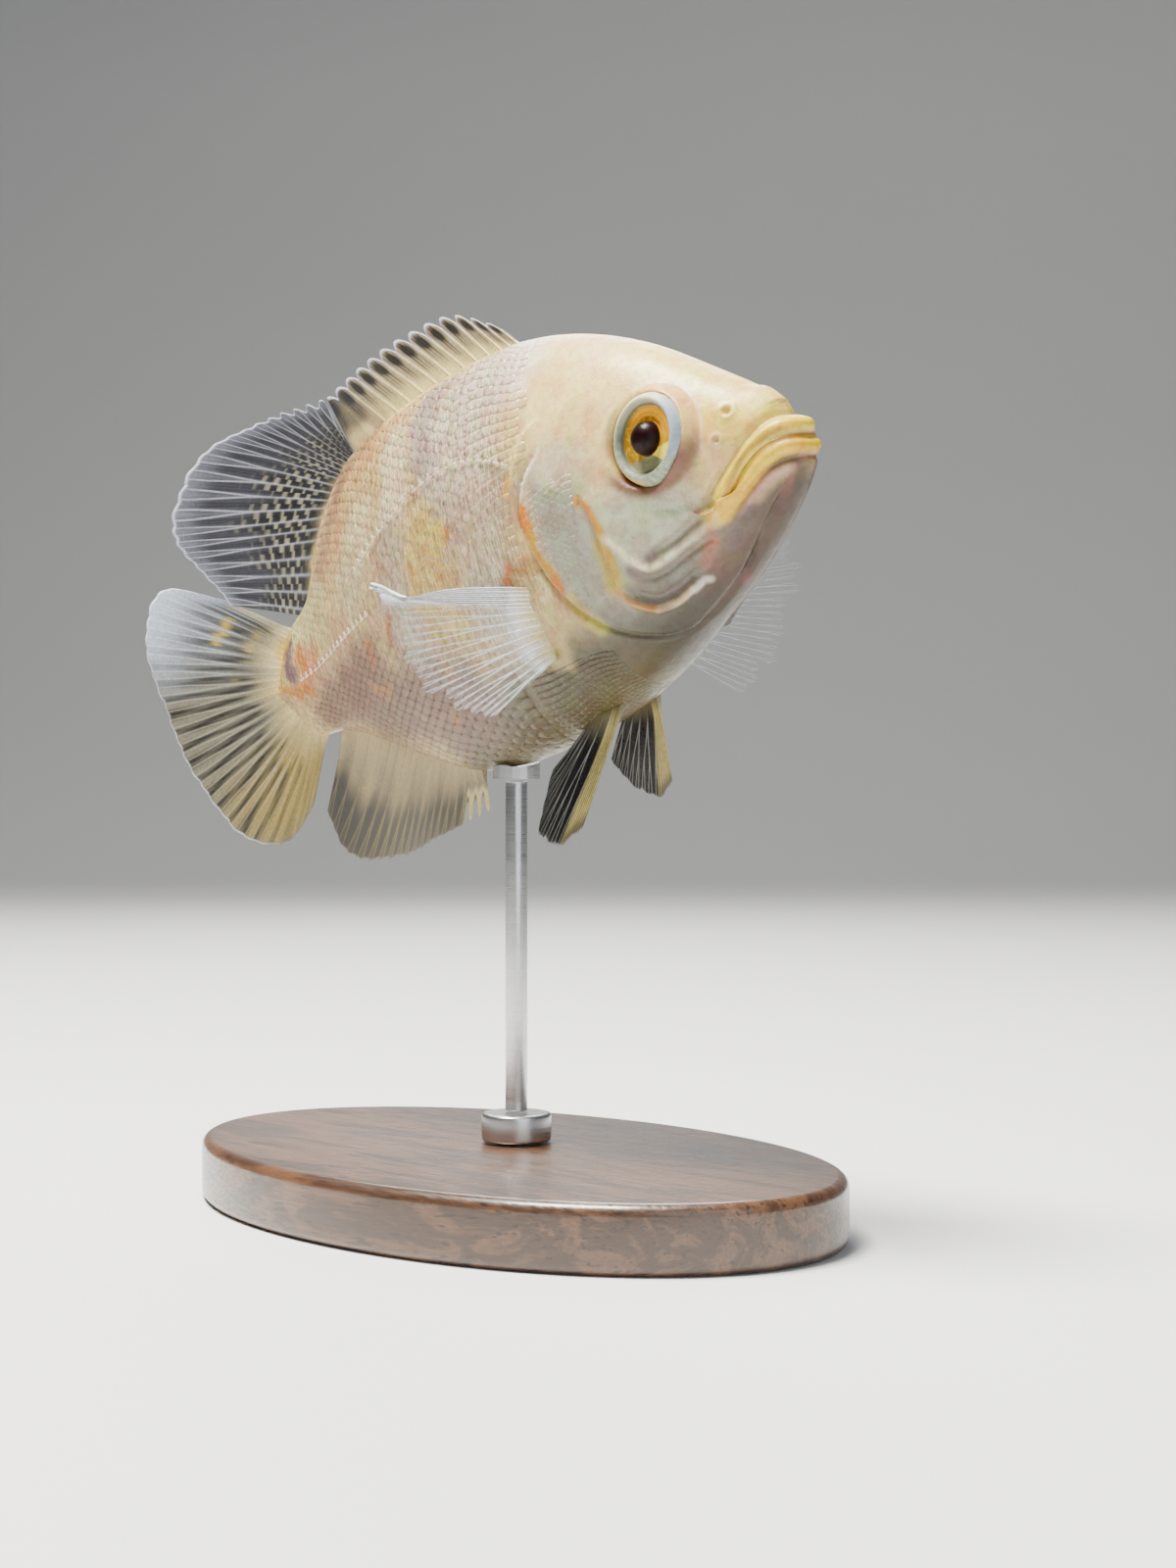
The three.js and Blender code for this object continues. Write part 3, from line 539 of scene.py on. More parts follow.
def marks_at(points):
    """Colour of the markings at each point of the straight fish."""
    tone = np.ones(points.shape) * colour(GROUND_COLOUR)
    flat = points * (1, 0, 1) + np.abs(points) * (0, 1, 0)
    # Borders of the trunk's markings waver
    s, _, z = np.moveaxis(points, -1, 0)
    sway = 0.55 * smooth((s - 37) / 6)
    flat[..., 0] += sway * (np.sin(z * 1.1 + s * 0.35) + 0.6 * np.sin(z * 2.9 + 1))
    flat[..., 2] += sway * (np.sin(s * 0.9 + 1) + 0.5 * np.sin(s * 2.3 - z))
    for code, strength, reach, softness, path in MARKS:
        placed = on_side(path)
        border = reach + softness
        low, high = placed.min(axis=0) - border, placed.max(axis=0) + border
        near = np.all((flat > low) & (flat < high), axis=-1)
        if near.any():
            distance, _ = from_line(flat[near], path)
            share = strength * smooth((border - np.abs(distance)) / (softness + reach * 0.5))
            tone[near] += (np.array(colour(code)) - tone[near]) * share[:, None]
    return tone


def blend(tone, code, share):
    """Lays a colour over tone by a share at each point."""
    return tone + (np.array(colour(code)) - tone) * np.clip(share, 0, 1)[..., None]


def layered(ground, shape, *layers):
    """Colour of a grid of this shape: a ground colour and the layers over it, each a code and a share."""
    tone = np.ones((*shape, 3)) * colour(ground)
    for code, share in layers:
        tone = blend(tone, code, share)
    return tone


def eye_ring_colour(tone, points):
    """Lays the pale swelling and the red crescent under the eye over tone; the crescent is partly painted
    shade below the eye's rim.
    """
    away, s, z = eye_offset(points)
    side = np.abs(points[..., 1]) > 3
    below = smooth((-z - 0.5) / 3.5)
    # The crescent is red-brown, with painted shade below the eye's rim
    crescent = smooth((EYE_RADIUS + 2.0 - away) / 1.5) * below * side
    front = smooth((3 - s) / 6)
    swelling = smooth((EYE_RADIUS + 1.3 - away) / 0.5) * side * front
    outline = bump((away - EYE_RADIUS - 1.25) / 0.25) * side * front
    tone = blend(tone, "e3bd80", 0.75 * swelling)
    tone = blend(tone, "f7e7c7", 0.70 * outline)
    return blend(tone, "6a4133", 0.92 * crescent)


# Fins. Rays run from the roots line to the tips line, both through points (s, y, z). fan says how
# they spread: (share of the rays, share of the roots line, share of the tips line).
FINS = {
    "dorsal_fin_spiny": {
        "roots": [(41, 0, 27), (61, 0, 28), (82.5, 0, 26.5)],
        "tips": [(45.2, 0, 32.6), (54, 0, 37.8), (64, 0, 38.9), (75, 0, 38.7), (86.6, 0, 38)],
        "fan": [(0, 0, 0), (0.15, 0.06, 0.15), (0.39, 0.24, 0.39), (0.59, 0.43, 0.59), (0.96, 0.80, 0.96)],
        "rays": 13,
        "kind": "spines",
    },
    "dorsal_fin_soft": {
        "roots": [(82.7, 0, 26.5), (96.5, 0, 19.6), (106, 0, 9)],
        "tips": [
            (86.8, 0, 38), (105.5, 0, 41.3), (121.5, 0, 41.2), (130.2, -0.8, 32), (121.5, -2.4, 16.2),
        ],
        "fan": [
            (0, 0, 0), (0.16, 0.02, 0.19), (0.42, 0.15, 0.47), (0.64, 0.36, 0.71), (0.78, 0.56, 0.81),
            (0.90, 0.80, 0.92),
        ],
        "rays": 20,
        "kind": "dark",
    },
    "anal_fin": {
        "roots": [(73.5, 0, -22.5), (90.8, 0, -14.8), (105.6, 0, -8)],
        "tips": [
            (75.8, 0, -29.8), (88.5, 0, -30.6), (102, 0, -31.2), (113.8, 0, -27.8), (115.2, 0, -20.4),
        ],
        "fan": [(0, 0, 0), (0.16, 0.10, 0.16), (0.65, 0.47, 0.65), (0.83, 0.68, 0.83), (0.96, 0.93, 0.96)],
        "rays": 20,
        "kind": "tan",
    },
    "caudal_fin": {
        "roots": [(110.5, 0, 8), (115.8, 0, 0), (109.8, 0, -8)],
        "tips": [
            (125, 0, 18.6), (136.5, 0, 23.4), (141.8, 0, 17), (141.6, 0, 5), (139.2, 0, -8),
            (133, 0, -20), (126, 0, -22.8), (118.5, 0, -18.8),
        ],
        "fan": [(0, 0, 0)],
        "rays": 26,
        "kind": "tail",
    },
    "pectoral_fin_right": {
        "roots": [(41.4, -10.2, -6), (42.2, -10.4, -10.5), (43.6, -9.7, -15.2)],
        "tips": [
            (63, -21, 1.6), (62.2, -20.5, -5), (60.4, -20, -12), (55.5, -20, -18), (49.3, -19, -20.6),
        ],
        "fan": [(0, 0, 0), (0.32, 0.24, 0.05), (0.40, 0.30, 0.13), (0.60, 0.52, 0.42)],
        "rays": 15,
        "kind": "clear",
        "bunch": 0.34,
    },
    "pectoral_fin_left": {
        "roots": [(41.4, 10.2, -6), (42.2, 10.4, -10.5), (43.6, 9.7, -15.2)],
        "tips": [(34, 38, -4.5), (36.3, 39, -10), (39.4, 38, -15.8), (42.6, 35, -21), (46, 30, -24.6)],
        "fan": [(0, 0, 0), (0.32, 0.24, 0.20)],
        "rays": 14,
        "kind": "clear",
        "faint": 0.45,
    },
    "pelvic_fin_right": {
        "roots": [(40.2, -2.6, -22.6), (43.5, -3.4, -23), (47, -2.6, -23.4)],
        "tips": [(49.2, -9, -37.8), (55, -8.4, -39.4), (59.4, -6.6, -35.6), (55.5, -4, -28.4)],
        "fan": [(0, 0, 0)],
        "rays": 6,
        "kind": "black",
    },
    "pelvic_fin_left": {
        "roots": [(38.8, 2.6, -22.4), (42, 3.4, -22.8), (45.5, 2.6, -23.2)],
        "tips": [(46.8, 9.2, -34.6), (49.4, 8.8, -36), (52.4, 6.6, -33), (52, 4, -28.8)],
        "fan": [(0, 0, 0)],
        "rays": 6,
        "kind": "black",
    },
}
# How each kind of fin is made: rows out to the tips, columns a ray, where its rays fork once and
# again, how far the web falls back between them, how much their lengths differ, their thickness and
# half width in millimetres, and the share of the fin that its fleshy foot takes up
FIN_MAKES = {
    "spines": (60, 34, (9, 9), 0.28, 0.0, 0.34, 0.24, 0.50),
    "dark": (84, 20, (0.46, 9), 0.012, 0.006, 0.14, 0.17, 0.13),
    "tan": (56, 22, (0.55, 9), 0.012, 0.006, 0.16, 0.19, 0.62),
    "tail": (64, 22, (0.34, 9), 0.008, 0.006, 0.16, 0.18, 0.34),
    "clear": (60, 34, (0.26, 0.70), 0.05, 0.06, 0.15, 0.065, 0.30),
    "black": (60, 42, (0.20, 0.55), 0.02, 0.02, 0.16, 0.10, 0.26),
}


class Fin:
    """One fin's sheet, worked out at a grid of ray shares and of shares of the way out to the tip."""

    def __init__(self, spec):
        self.kind = spec["kind"]
        self.bunched = spec.get("bunch", 0)
        make = FIN_MAKES[self.kind]
        self.rows, columns, self.forks, self.notch, self.rag, self.ray_height, self.wide, self.foot = make
        self.columns = spec["rays"] * columns
        across = np.linspace(0, 1, self.columns + 1)
        self.across, self.out = np.meshgrid(across, np.linspace(0, 1, self.rows + 1), indexing="ij")
        fan = np.array([*spec["fan"], (1, 1, 1)], float)
        roots = along_curve(spec["roots"], np.interp(across, fan[:, 0], fan[:, 1]))[:, None]
        tips = along_curve(spec["tips"], np.interp(across, fan[:, 0], fan[:, 2]))[:, None]
        self.find_rays(spec["rays"], roots, tips)
        reach = self.out * (1 - (1 - self.reach()) * self.out**1.5)
        self.middle = roots + (tips - roots) * reach[..., None]
        if self.bunched:
            self.gather(self.bunched)
        self.faint = spec.get("faint", 1.0)
        normal = np.cross(np.gradient(self.middle, axis=0), np.gradient(self.middle, axis=1))
        self.normal = normal / np.maximum(np.linalg.norm(normal, axis=-1, keepdims=True), 1e-9)
        self.middle += self.normal * (0.3 * np.sin(self.across * 9 + self.out * 2) * self.out)[..., None]

    def gather(self, share):
        """Draws the first share of the fin together into a bunch with a curled tip."""
        inside = smooth((share - self.across) / 0.03)
        last = int(share * self.columns)
        core = self.middle[: last + 1].mean(axis=0)[None]
        belly = 0.35 * np.sin(math.pi * np.clip(self.out / 0.8, 0, 1))
        pull = (smooth((self.out - 0.50) / 0.36) * 0.80 - belly) * (1 - 0.35 * smooth((self.out - 0.9) / 0.1))
        self.middle += (core - self.middle) * (inside * pull)[..., None]
        curl = 1.9 * smooth((self.out - 0.84) / 0.16) * inside
        self.middle += curl[..., None] * np.array([0.0, -0.5, 1.0])

    def find_rays(self, rays, roots, tips):
        """Where the rays lie: 1 on a ray's middle and 0 on the web, and the place between two rays."""
        first, second = self.forks
        place = self.across * (rays - 0.4) - 0.2
        self.index = np.floor(place + 0.5)
        self.phase = place - np.floor(place)
        middle = np.minimum(self.phase, 1 - self.phase)
        apart = 0.25 * smooth((self.out - first) / 0.5)
        again = 0.11 * smooth((self.out - second) / 0.4)
        offset = np.abs(np.abs(middle - apart) - again)
        pitch = [np.linalg.norm(np.diff(line[:, 0], axis=0), axis=1).sum() / rays for line in (roots, tips)]
        width = self.wide * (1 - 0.55 * self.out)
        self.ray = bump(offset * (pitch[0] + (pitch[1] - pitch[0]) * self.out) / width)

    def reach(self):
        """How far the web reaches out, as a share of the ray's length."""
        notch = self.notch
        if self.kind == "spines":
            lobe = np.mod(self.phase + 0.06, 1) ** 0.85
            return 1 - notch * (1 - 0.5 * self.across) * (1 - np.sin(math.pi * lobe) ** 0.5)
        if self.kind == "tan":
            notch = notch + 0.30 * smooth((0.155 - self.across) / 0.01)
        if self.kind == "dark":
            notch = notch + 0.09 * smooth((0.34 - self.across) / 0.3)
        length = 1 - self.rag * (1 + np.sin(self.index * 2.4) * np.cos(self.index * 5.1))
        return length * (1 - notch * np.sin(math.pi * self.phase) ** 2)

    def thickness(self, web, foot):
        """Thickness of the sheet, which runs out to nothing at its rims."""
        thick = web + (foot - web) * smooth((self.foot - self.out) / self.foot)
        thick += self.ray_height * self.ray * (1 - 0.6 * self.out)
        rim = smooth(self.out / 0.04) * smooth((1 - self.out) / 0.03)
        edge = self.across * self.columns / 4
        return thick * rim * smooth(edge) * smooth(self.columns / 4 - edge)

    def paint(self):
        """Colour and cover of the sheet. Cover is 1 where nothing shows through. The skin's colours run
        out on the fin's foot."""
        tone, cover = getattr(self, f"paint_{self.kind}")(self.across, self.out, self.ray, self.phase)
        uneven = 0.10 * np.sin(self.across * 31) + 0.07 * np.sin(self.across * 83 + 1) - 0.10 * self.ray
        share = smooth(1.1 + uneven - self.out / self.foot)
        return tone + (marks_at(self.middle) - tone) * share[..., None], cover * self.faint

    def paint_spines(self, across, out, ray, phase):
        """Cream spines, and streaky webs with a dark oval below a lilac hem."""
        lobe = np.mod(phase + 0.06, 1)
        spine = bump(np.minimum(phase, 1 - phase) / 0.17)
        streaks = 0.5 + 0.5 * np.sin(phase * 24 + out * 5 + self.index * 2)
        oval = smooth((1 - np.hypot((lobe - 0.50) / 0.42, (out - 0.79) / 0.20)) / 0.60)
        rear = smooth((across - 0.84) / 0.12)
        side = bump(np.minimum(lobe, 1 - lobe) / 0.055) * smooth((out - 0.66) / 0.12) * (1 - rear)
        tone = layered(
            "a8977a", across.shape,
            ("37352f", 0.85 * streaks * (1 - spine) * smooth((out - 0.16) / 0.25)),
            ("ecd08c", (0.15 + 0.80 * spine) * smooth((0.66 - out) / 0.40)),
            ("d8c78e", 0.85 * spine * smooth((0.90 - out) / 0.2)),
            ("1a1b20", 0.94 * oval),
            ("303034", 0.80 * rear * smooth((out - 0.15) / 0.3)),
            ("c3c1d6", np.maximum(0.70 * side, smooth((out - 0.94) / 0.03))),
        )
        return tone, np.full(across.shape, 0.96)

    def paint_dark(self, across, out, ray, phase):
        """Lilac grey rays and dark webs, with rows of black cells near the body and a thin pale hem."""
        web = np.sin(math.pi * phase) ** 0.4
        streaks = 0.5 + 0.5 * np.sin(phase * 25 + self.index * 2)
        uneven = np.sin(self.index * 2.1) + 0.6 * np.sin(self.index * 5.7 + 2)
        inner = smooth((0.66 + 0.07 * uneven - out) / 0.34)
        rows = out * 12 + 0.5 * self.index + 0.3 * uneven + 0.5 * np.floor(phase * 2)
        size = 0.20 + 0.08 * np.sin(self.index * 3.1 + out * 17)
        bar = smooth((size - np.abs(np.mod(rows, 1) - 0.5)) / 0.15)
        outer = smooth((out - 0.40) / 0.4)
        tone = layered(
            "5d5e68", across.shape,
            ("24252c", (0.70 + 0.28 * streaks) * web),
            ("111113", 0.90 * web * inner),
            ("9b9580", 0.88 * bar * inner * smooth((out - 0.10) / 0.1)),
            ("b3b4c3", (0.45 + 0.45 * outer) * ray),
            # painted shadow on the fin's front near its foot
            ("232427", 0.85 * bump(across / 0.24) * bump((out - 0.24) / 0.28)),
            ("9a9db0", 0.30 * smooth((out - 0.80) / 0.2)),
            ("d2d7e8", 0.85 * smooth((out - 0.982) / 0.01)),
        )
        return tone, 0.95 + 0.05 * ray

    def paint_tan(self, across, out, ray, phase):
        """Tan rays and grey-brown webs, with three pale tipped, notched spines in front."""
        web = np.sin(math.pi * phase) ** 0.6
        rear = smooth((across - 0.60) / 0.32)
        front = smooth((0.16 - across) / 0.02) * smooth((out - 0.45) / 0.2)
        tone = layered(
            "6d6141", across.shape,
            ("302b22", 0.85 * web * smooth((out - 0.26) / 0.40)),
            ("2c2a27", 0.88 * rear * smooth((out - 0.02) / 0.20)),
            ("93855a", (0.80 - 0.42 * rear) * ray),
            ("cfc086", 0.90 * front),
            ("26272b", 0.85 * front * bump((phase - 0.5) / 0.20) * smooth((out - 0.70) / 0.1)),
            ("a3a296", 0.60 * smooth((out - 0.984) / 0.010)),
        )
        return tone, 0.95 + 0.05 * ray

    def paint_tail(self, across, out, ray, phase):
        """Golden below and bluish white above, with long dark streaks between the rays."""
        upper = smooth((0.46 - across) / 0.26)
        golden = smooth((across - 0.58) / 0.24)
        low = smooth((across - 0.76) / 0.16)
        wander = 0.10 * np.sin(self.index * 2.3 + out * 5)
        start = 0.22 + 0.08 * np.sin(self.index * 1.7) + 0.08 * golden
        streak = smooth(1.6 * bump((phase - 0.5 - wander) / 0.25)) * smooth((out - start) / 0.14)
        streak *= 0.80 + 0.20 * np.sin(self.index * 4.1 + out * 14)
        streak *= (1 - 0.60 * low) * (1 - 0.45 * upper * smooth(out - 0.1))
        rows = bump((np.mod(out * 4.3 + 1.7 * np.sin(self.index * 2.7), 1) - 0.5) / 0.14)
        dots = rows * bump((phase - 0.5) / 0.42) * smooth((0.72 - out) / 0.2) * smooth((out - 0.22) / 0.1)
        dots *= np.sin(self.index * 5.3) > 0.1
        tone = layered(
            "6d6a5c", across.shape,
            ("94803c", 0.95 * golden * smooth((1.35 - out) / 0.6)),
            ("858b97", 0.85 * upper * smooth((out - 0.25) / 0.4)),
            ("141416", 0.94 * streak),
            ("a49d84", 0.60 * ray * (1 - upper) * (1 - low)),
            ("c0c7d6", 0.60 * ray * upper * smooth((out - 0.2) / 0.3)),
            ("c6d1e6", 0.72 * upper * smooth((out - 0.62) / 0.35)),
            ("d5d0b2", 0.75 * smooth((0.10 - across) / 0.07) * smooth((0.9 - out) / 0.3)),
            ("c8ac40", 0.90 * dots * smooth((0.42 - across) / 0.12)),
            ("e4eaf6", smooth((out - 0.984) / 0.010) * (0.9 - 0.75 * smooth((across - 0.76) / 0.14))),
        )
        return tone, 0.96 + 0.04 * ray

    def paint_clear(self, across, out, ray, phase):
        """White segmented rays in a web that is almost clear, from a beige foot."""
        joints = 0.5 + 0.5 * np.sin(out * 150)
        tone = layered("dfe6f2", across.shape, ("8d96a8", 0.35 * ray * joints * smooth((out - 0.25) / 0.1)))
        thread = ray * (0.85 - 0.45 * out)
        haze = 0.10 * smooth((0.55 - out) / 0.3)
        cover = np.maximum(0.02 + 0.98 * thread, haze) + 0.85 * smooth((0.30 - out) / 0.12)
        if self.bunched:
            inside = smooth((self.bunched - across) / 0.02) * smooth((out - 0.14) / 0.16)
            fold = 0.5 + 0.5 * np.cos(phase * 4 * math.pi)
            waist = smooth((out - 0.80) / 0.12)
            tone = blend(tone, "76849c", 0.90 * inside * (1 - fold) * (1 - 0.8 * waist))
            tone = blend(tone, "f4f8ff", inside * fold * (0.5 + 0.5 * waist))
            cover = np.maximum(cover, (0.28 + 0.60 * fold + 0.4 * waist) * inside)
        return tone, np.clip(cover, 0, 1)

    def paint_black(self, across, out, ray, phase):
        """Black webs with pale forking rays behind a broad, finely lined cream leading ray."""
        lead = smooth((0.27 - across) / 0.06)
        lines = smooth(0.5 + 0.9 * np.sin(across * 165 + 2 * np.sin(out * 3)))
        tone = layered(
            "0b0c0f", across.shape,
            ("9b9b93", 0.70 * ray * smooth((out - 0.1) / 0.2)),
            ("b3a468", lead),
            ("47421f", 0.70 * lead * lines * smooth((out - 0.12) / 0.2)),
            ("26272a", 0.75 * lead * smooth((out - 0.80) / 0.16)),
            ("a3a8b2", 0.6 * smooth((out - 0.98) / 0.014)),
        )
        return tone, np.full(across.shape, 0.97)


# Meshes
def mesh_from(bm, name):
    """Turns a bmesh into a mesh of its own, and frees it."""
    mesh = bpy.data.meshes.new(name)
    bm.to_mesh(mesh)
    bm.free()
    return mesh


def vertex_spots(mesh):
    """Places of a mesh's vertices."""
    spots = np.empty(len(mesh.vertices) * 3, np.float32)
    mesh.vertices.foreach_get("co", spots)
    return spots.reshape(-1, 3)


def shade_smooth(mesh):
    """Shades every face of a mesh as part of a round surface."""
    mesh.polygons.foreach_set("use_smooth", np.ones(len(mesh.polygons), bool))
    mesh.update()


def grid_mesh(name, rows, columns):
    """Mesh of a flat grid with a UV map, and the row and column of each vertex."""
    bm = bmesh.new()
    bm.loops.layers.uv.new("OFBake")
    bmesh.ops.create_grid(bm, x_segments=rows, y_segments=columns, size=0.5, calc_uvs=True)
    mesh = mesh_from(bm, name)
    spots = vertex_spots(mesh) + 0.5
    row = np.rint(spots[:, 0] * rows).astype(int)
    column = np.rint(spots[:, 1] * columns).astype(int)
    return mesh, row, column


def set_points(mesh, points):
    """Moves a mesh's vertices to points of the straight fish."""
    mesh.vertices.foreach_set("co", to_row(points).astype(np.float32).ravel())
    mesh.update()


def keep_number(mesh, name, values):
    """Keeps one number a vertex as a named attribute."""
    layer = mesh.attributes.new(name, "FLOAT", "POINT")
    layer.data.foreach_set("value", np.asarray(values, np.float32).ravel())


def keep_place(mesh, points):
    """Keeps each vertex's place in the straight fish as a named attribute."""
    layer = mesh.attributes.new("place", "FLOAT_VECTOR", "POINT")
    layer.data.foreach_set("vector", np.asarray(points, np.float32).ravel())


def keep_tone(mesh, tone):
    """Keeps a colour a vertex as a named attribute."""
    opaque = np.concatenate([tone, np.ones((len(tone), 1))], axis=1)
    layer = mesh.attributes.new("tone", "FLOAT_COLOR", "POINT")
    layer.data.foreach_set("color", opaque.astype(np.float32).ravel())


def keep_skin(mesh, points, tone, edge=0.0, shift=0.0):
    """Keeps what the skin's material reads: place and colour, and on scales how far back on the scale
    each vertex lies and the scale's own shade."""
    keep_place(mesh, points)
    keep_tone(mesh, tone)
    for name, values in (("scale_edge", edge), ("scale_tone", shift)):
        keep_number(mesh, name, np.zeros(len(points)) + values)


def keep_patches(mesh, places):
    """Keeps each vertex's place on the unwrapped skin as the UV map that colours are baked on."""
    corners = np.empty(len(mesh.loops), np.int32)
    mesh.loops.foreach_get("vertex_index", corners)
    layer = mesh.uv_layers.new(name="OFBake")
    layer.data.foreach_set("uv", np.asarray(places)[corners].astype(np.float32).ravel())


def close_mesh(mesh):
    """Joins the vertices that meet, and turns every face outwards."""
    bm = bmesh.new()
    bm.from_mesh(mesh)
    bmesh.ops.remove_doubles(bm, verts=bm.verts, dist=2e-6)
    bmesh.ops.dissolve_degenerate(bm, edges=bm.edges, dist=1e-7)
    bmesh.ops.recalc_face_normals(bm, faces=bm.faces)
    bm.to_mesh(mesh)
    bm.free()
    shade_smooth(mesh)


def add_piece(name, mesh, material, replaced=()):
    """Shows a mesh as a piece of the model."""
    piece = bpy.data.objects.new(name, mesh)
    bpy.context.scene.collection.objects.link(piece)
    mesh.materials.clear()
    mesh.materials.append(material)
    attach(piece, "root")
    if replaced:
        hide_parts(*replaced)


# Materials
class Paint:
    """A material in the making. Its methods add nodes and return their outputs."""

    def __init__(self, name):
        self.material = bpy.data.materials.new(name)
        self.material.use_nodes = True
        self.tree = self.material.node_tree
        self.shader = self.tree.nodes["Principled BSDF"]

    def node(self, kind, inputs=(), **settings):
        made = self.tree.nodes.new(kind)
        for key, value in settings.items():
            setattr(made, key, value)
        for key, value in dict(inputs).items():
            self.put(made.inputs[key], value)
        return made

    def put(self, socket, value):
        if isinstance(value, bpy.types.NodeSocket):
            self.tree.links.new(value, socket)
        elif isinstance(value, (tuple, list, np.ndarray)) and len(value) == 3 and socket.type == "RGBA":
            socket.default_value = (*value, 1)
        else:
            socket.default_value = value

    def set(self, **values):
        for key, value in values.items():
            self.put(self.shader.inputs[key.replace("_", " ")], value)

    def attribute(self, name, output="Vector"):
        return self.node("ShaderNodeAttribute", attribute_name=name).outputs[output]

    def math(self, operation, a, b=0.0, clamp=False):
        made = self.node("ShaderNodeMath", {0: a, 1: b}, operation=operation, use_clamp=clamp)
        return made.outputs[0]

    def stretch(self, vector, scale, shift=(0, 0, 0)):
        made = self.node("ShaderNodeMapping", {"Vector": vector, "Scale": scale, "Location": shift})
        return made.outputs["Vector"]

    def noise(self, vector, scale, detail=3.0, roughness=0.5, distortion=0.0):
        inputs = {
            "Vector": vector,
            "Scale": scale,
            "Detail": detail,
            "Roughness": roughness,
            "Distortion": distortion,
        }
        return self.node("ShaderNodeTexNoise", inputs).outputs["Fac"]

    def range(self, value, low, high, to_low=0.0, to_high=1.0):
        inputs = {"Value": value, "From Min": low, "From Max": high, "To Min": to_low, "To Max": to_high}
        made = self.node("ShaderNodeMapRange", inputs, interpolation_type="SMOOTHSTEP")
        return made.outputs["Result"]

    def mix(self, share, a, b, blend_type="MIX"):
        made = self.node("ShaderNodeMix", data_type="RGBA", blend_type=blend_type)
        for socket, value in zip((made.inputs[0], made.inputs[6], made.inputs[7]), (share, a, b)):
            self.put(socket, value)
        return made.outputs[2]

    def bump(self, height, distance):
        return self.node("ShaderNodeBump", {"Height": height, "Distance": distance}).outputs["Normal"]


@lru_cache(maxsize=None)
def skin_material():
    """Wet skin: the markings, broken up by mottling and fine upright streaks, with painted shade on each
    scale's front, under the rim of the scale before.
    """
    paint = Paint("oscar_skin")
    place = paint.attribute("place")
    tone = paint.attribute("tone", "Color")
    edge = paint.attribute("scale_edge", "Fac")
    shift = paint.attribute("scale_tone", "Fac")
    blotches = paint.noise(place, 0.16, 4.0, 0.6, 0.4)
    drift = paint.noise(paint.stretch(place, (0.33, 0.33, 0.33), (7, 3, 5)), 1.0, 3.0, 0.55, 0.3)
    mottle = paint.noise(place, 0.9, 4.0, 0.62, 0.3)
    streaks = paint.noise(paint.stretch(place, (3.8, 1.4, 0.46)), 1.0, 3.0, 0.62)
    parts = paint.node("ShaderNodeSeparateXYZ", {"Vector": place}).outputs
    flank = paint.math("MULTIPLY", paint.range(parts["X"], 36.0, 46.0), paint.range(parts["Z"], -18.0, -8.0))
    grains = paint.noise(place, 4.2, 3.0, 0.6)
    specks = paint.noise(place, 2.2, 2.0, 0.5)
    shade = tone
    for share, code in (
        (paint.range(blotches, 0.42, 0.62, 0.0, 0.30), "cfbd9c"),
        (paint.range(drift, 0.35, 0.62, 0.75, 0.0), "f2d4cc"),
        (paint.range(drift, 0.45, 0.70, 0.0, 0.75), "eef4c8"),
        (paint.range(mottle, 0.42, 0.62, 0.0, 0.26), "b39f86"),
        (paint.range(specks, 0.68, 0.74, 0.0, 0.45), "8f8580"),
        (paint.math("MULTIPLY", paint.range(streaks, 0.38, 0.60, 1.0, 0.0), flank), "bdb2aa"),
        (paint.range(grains, 0.50, 0.68, 0.0, 0.18), "ab9a8c"),
        # painted shade on each scale's front, under the rim of the scale before
        (paint.range(edge, 0.20, 0.70, 0.14, 0.0), "a89c90"),
        (paint.range(shift, 0.2, 1.0, 0.0, 0.16), "d3c7b8"),
    ):
        shade = paint.mix(share, shade, colour(code), "MULTIPLY")
    wet = paint.range(mottle, 0.3, 0.7, 0.30, 0.46)
    relief_height = paint.math("ADD", paint.math("MULTIPLY", grains, 0.5), mottle)
    paint.set(
        Base_Color=shade,
        Roughness=wet,
        Normal=paint.bump(relief_height, 0.00009),
        Coat_Weight=0.10,
        Coat_Roughness=0.25,
        IOR=1.42,
        Subsurface_Weight=0.12,
        Subsurface_Radius=(0.0016, 0.0009, 0.0006),
        Subsurface_Scale=1.0,
    )
    return paint.material


@lru_cache(maxsize=None)
def fin_material():
    """Fin skin: painted webs and rays, clear where the cover is thin."""
    paint = Paint("oscar_fin")
    place = paint.attribute("place")
    tone = paint.attribute("tone", "Color")
    ray = paint.attribute("ray", "Fac")
    cover = paint.attribute("cover", "Fac")
    flecks = paint.noise(place, 1.6, 4.0, 0.6)
    grains = paint.noise(place, 5.5, 2.0, 0.5)
    shade = paint.mix(paint.range(flecks, 0.40, 0.62, 0.0, 0.30), tone, colour("8b857c"), "MULTIPLY")
    shade = paint.mix(paint.range(grains, 0.44, 0.66, 0.0, 0.30), shade, colour("9c968c"), "MULTIPLY")
    paint.set(
        Base_Color=shade,
        Roughness=paint.range(ray, 0.0, 1.0, 0.30, 0.42),
        Normal=paint.bump(grains, 0.00005),
        Alpha=paint.math("MULTIPLY", cover, paint.range(flecks, 0.3, 0.7, 0.90, 1.0), True),
        IOR=1.38,
    )
    return paint.material


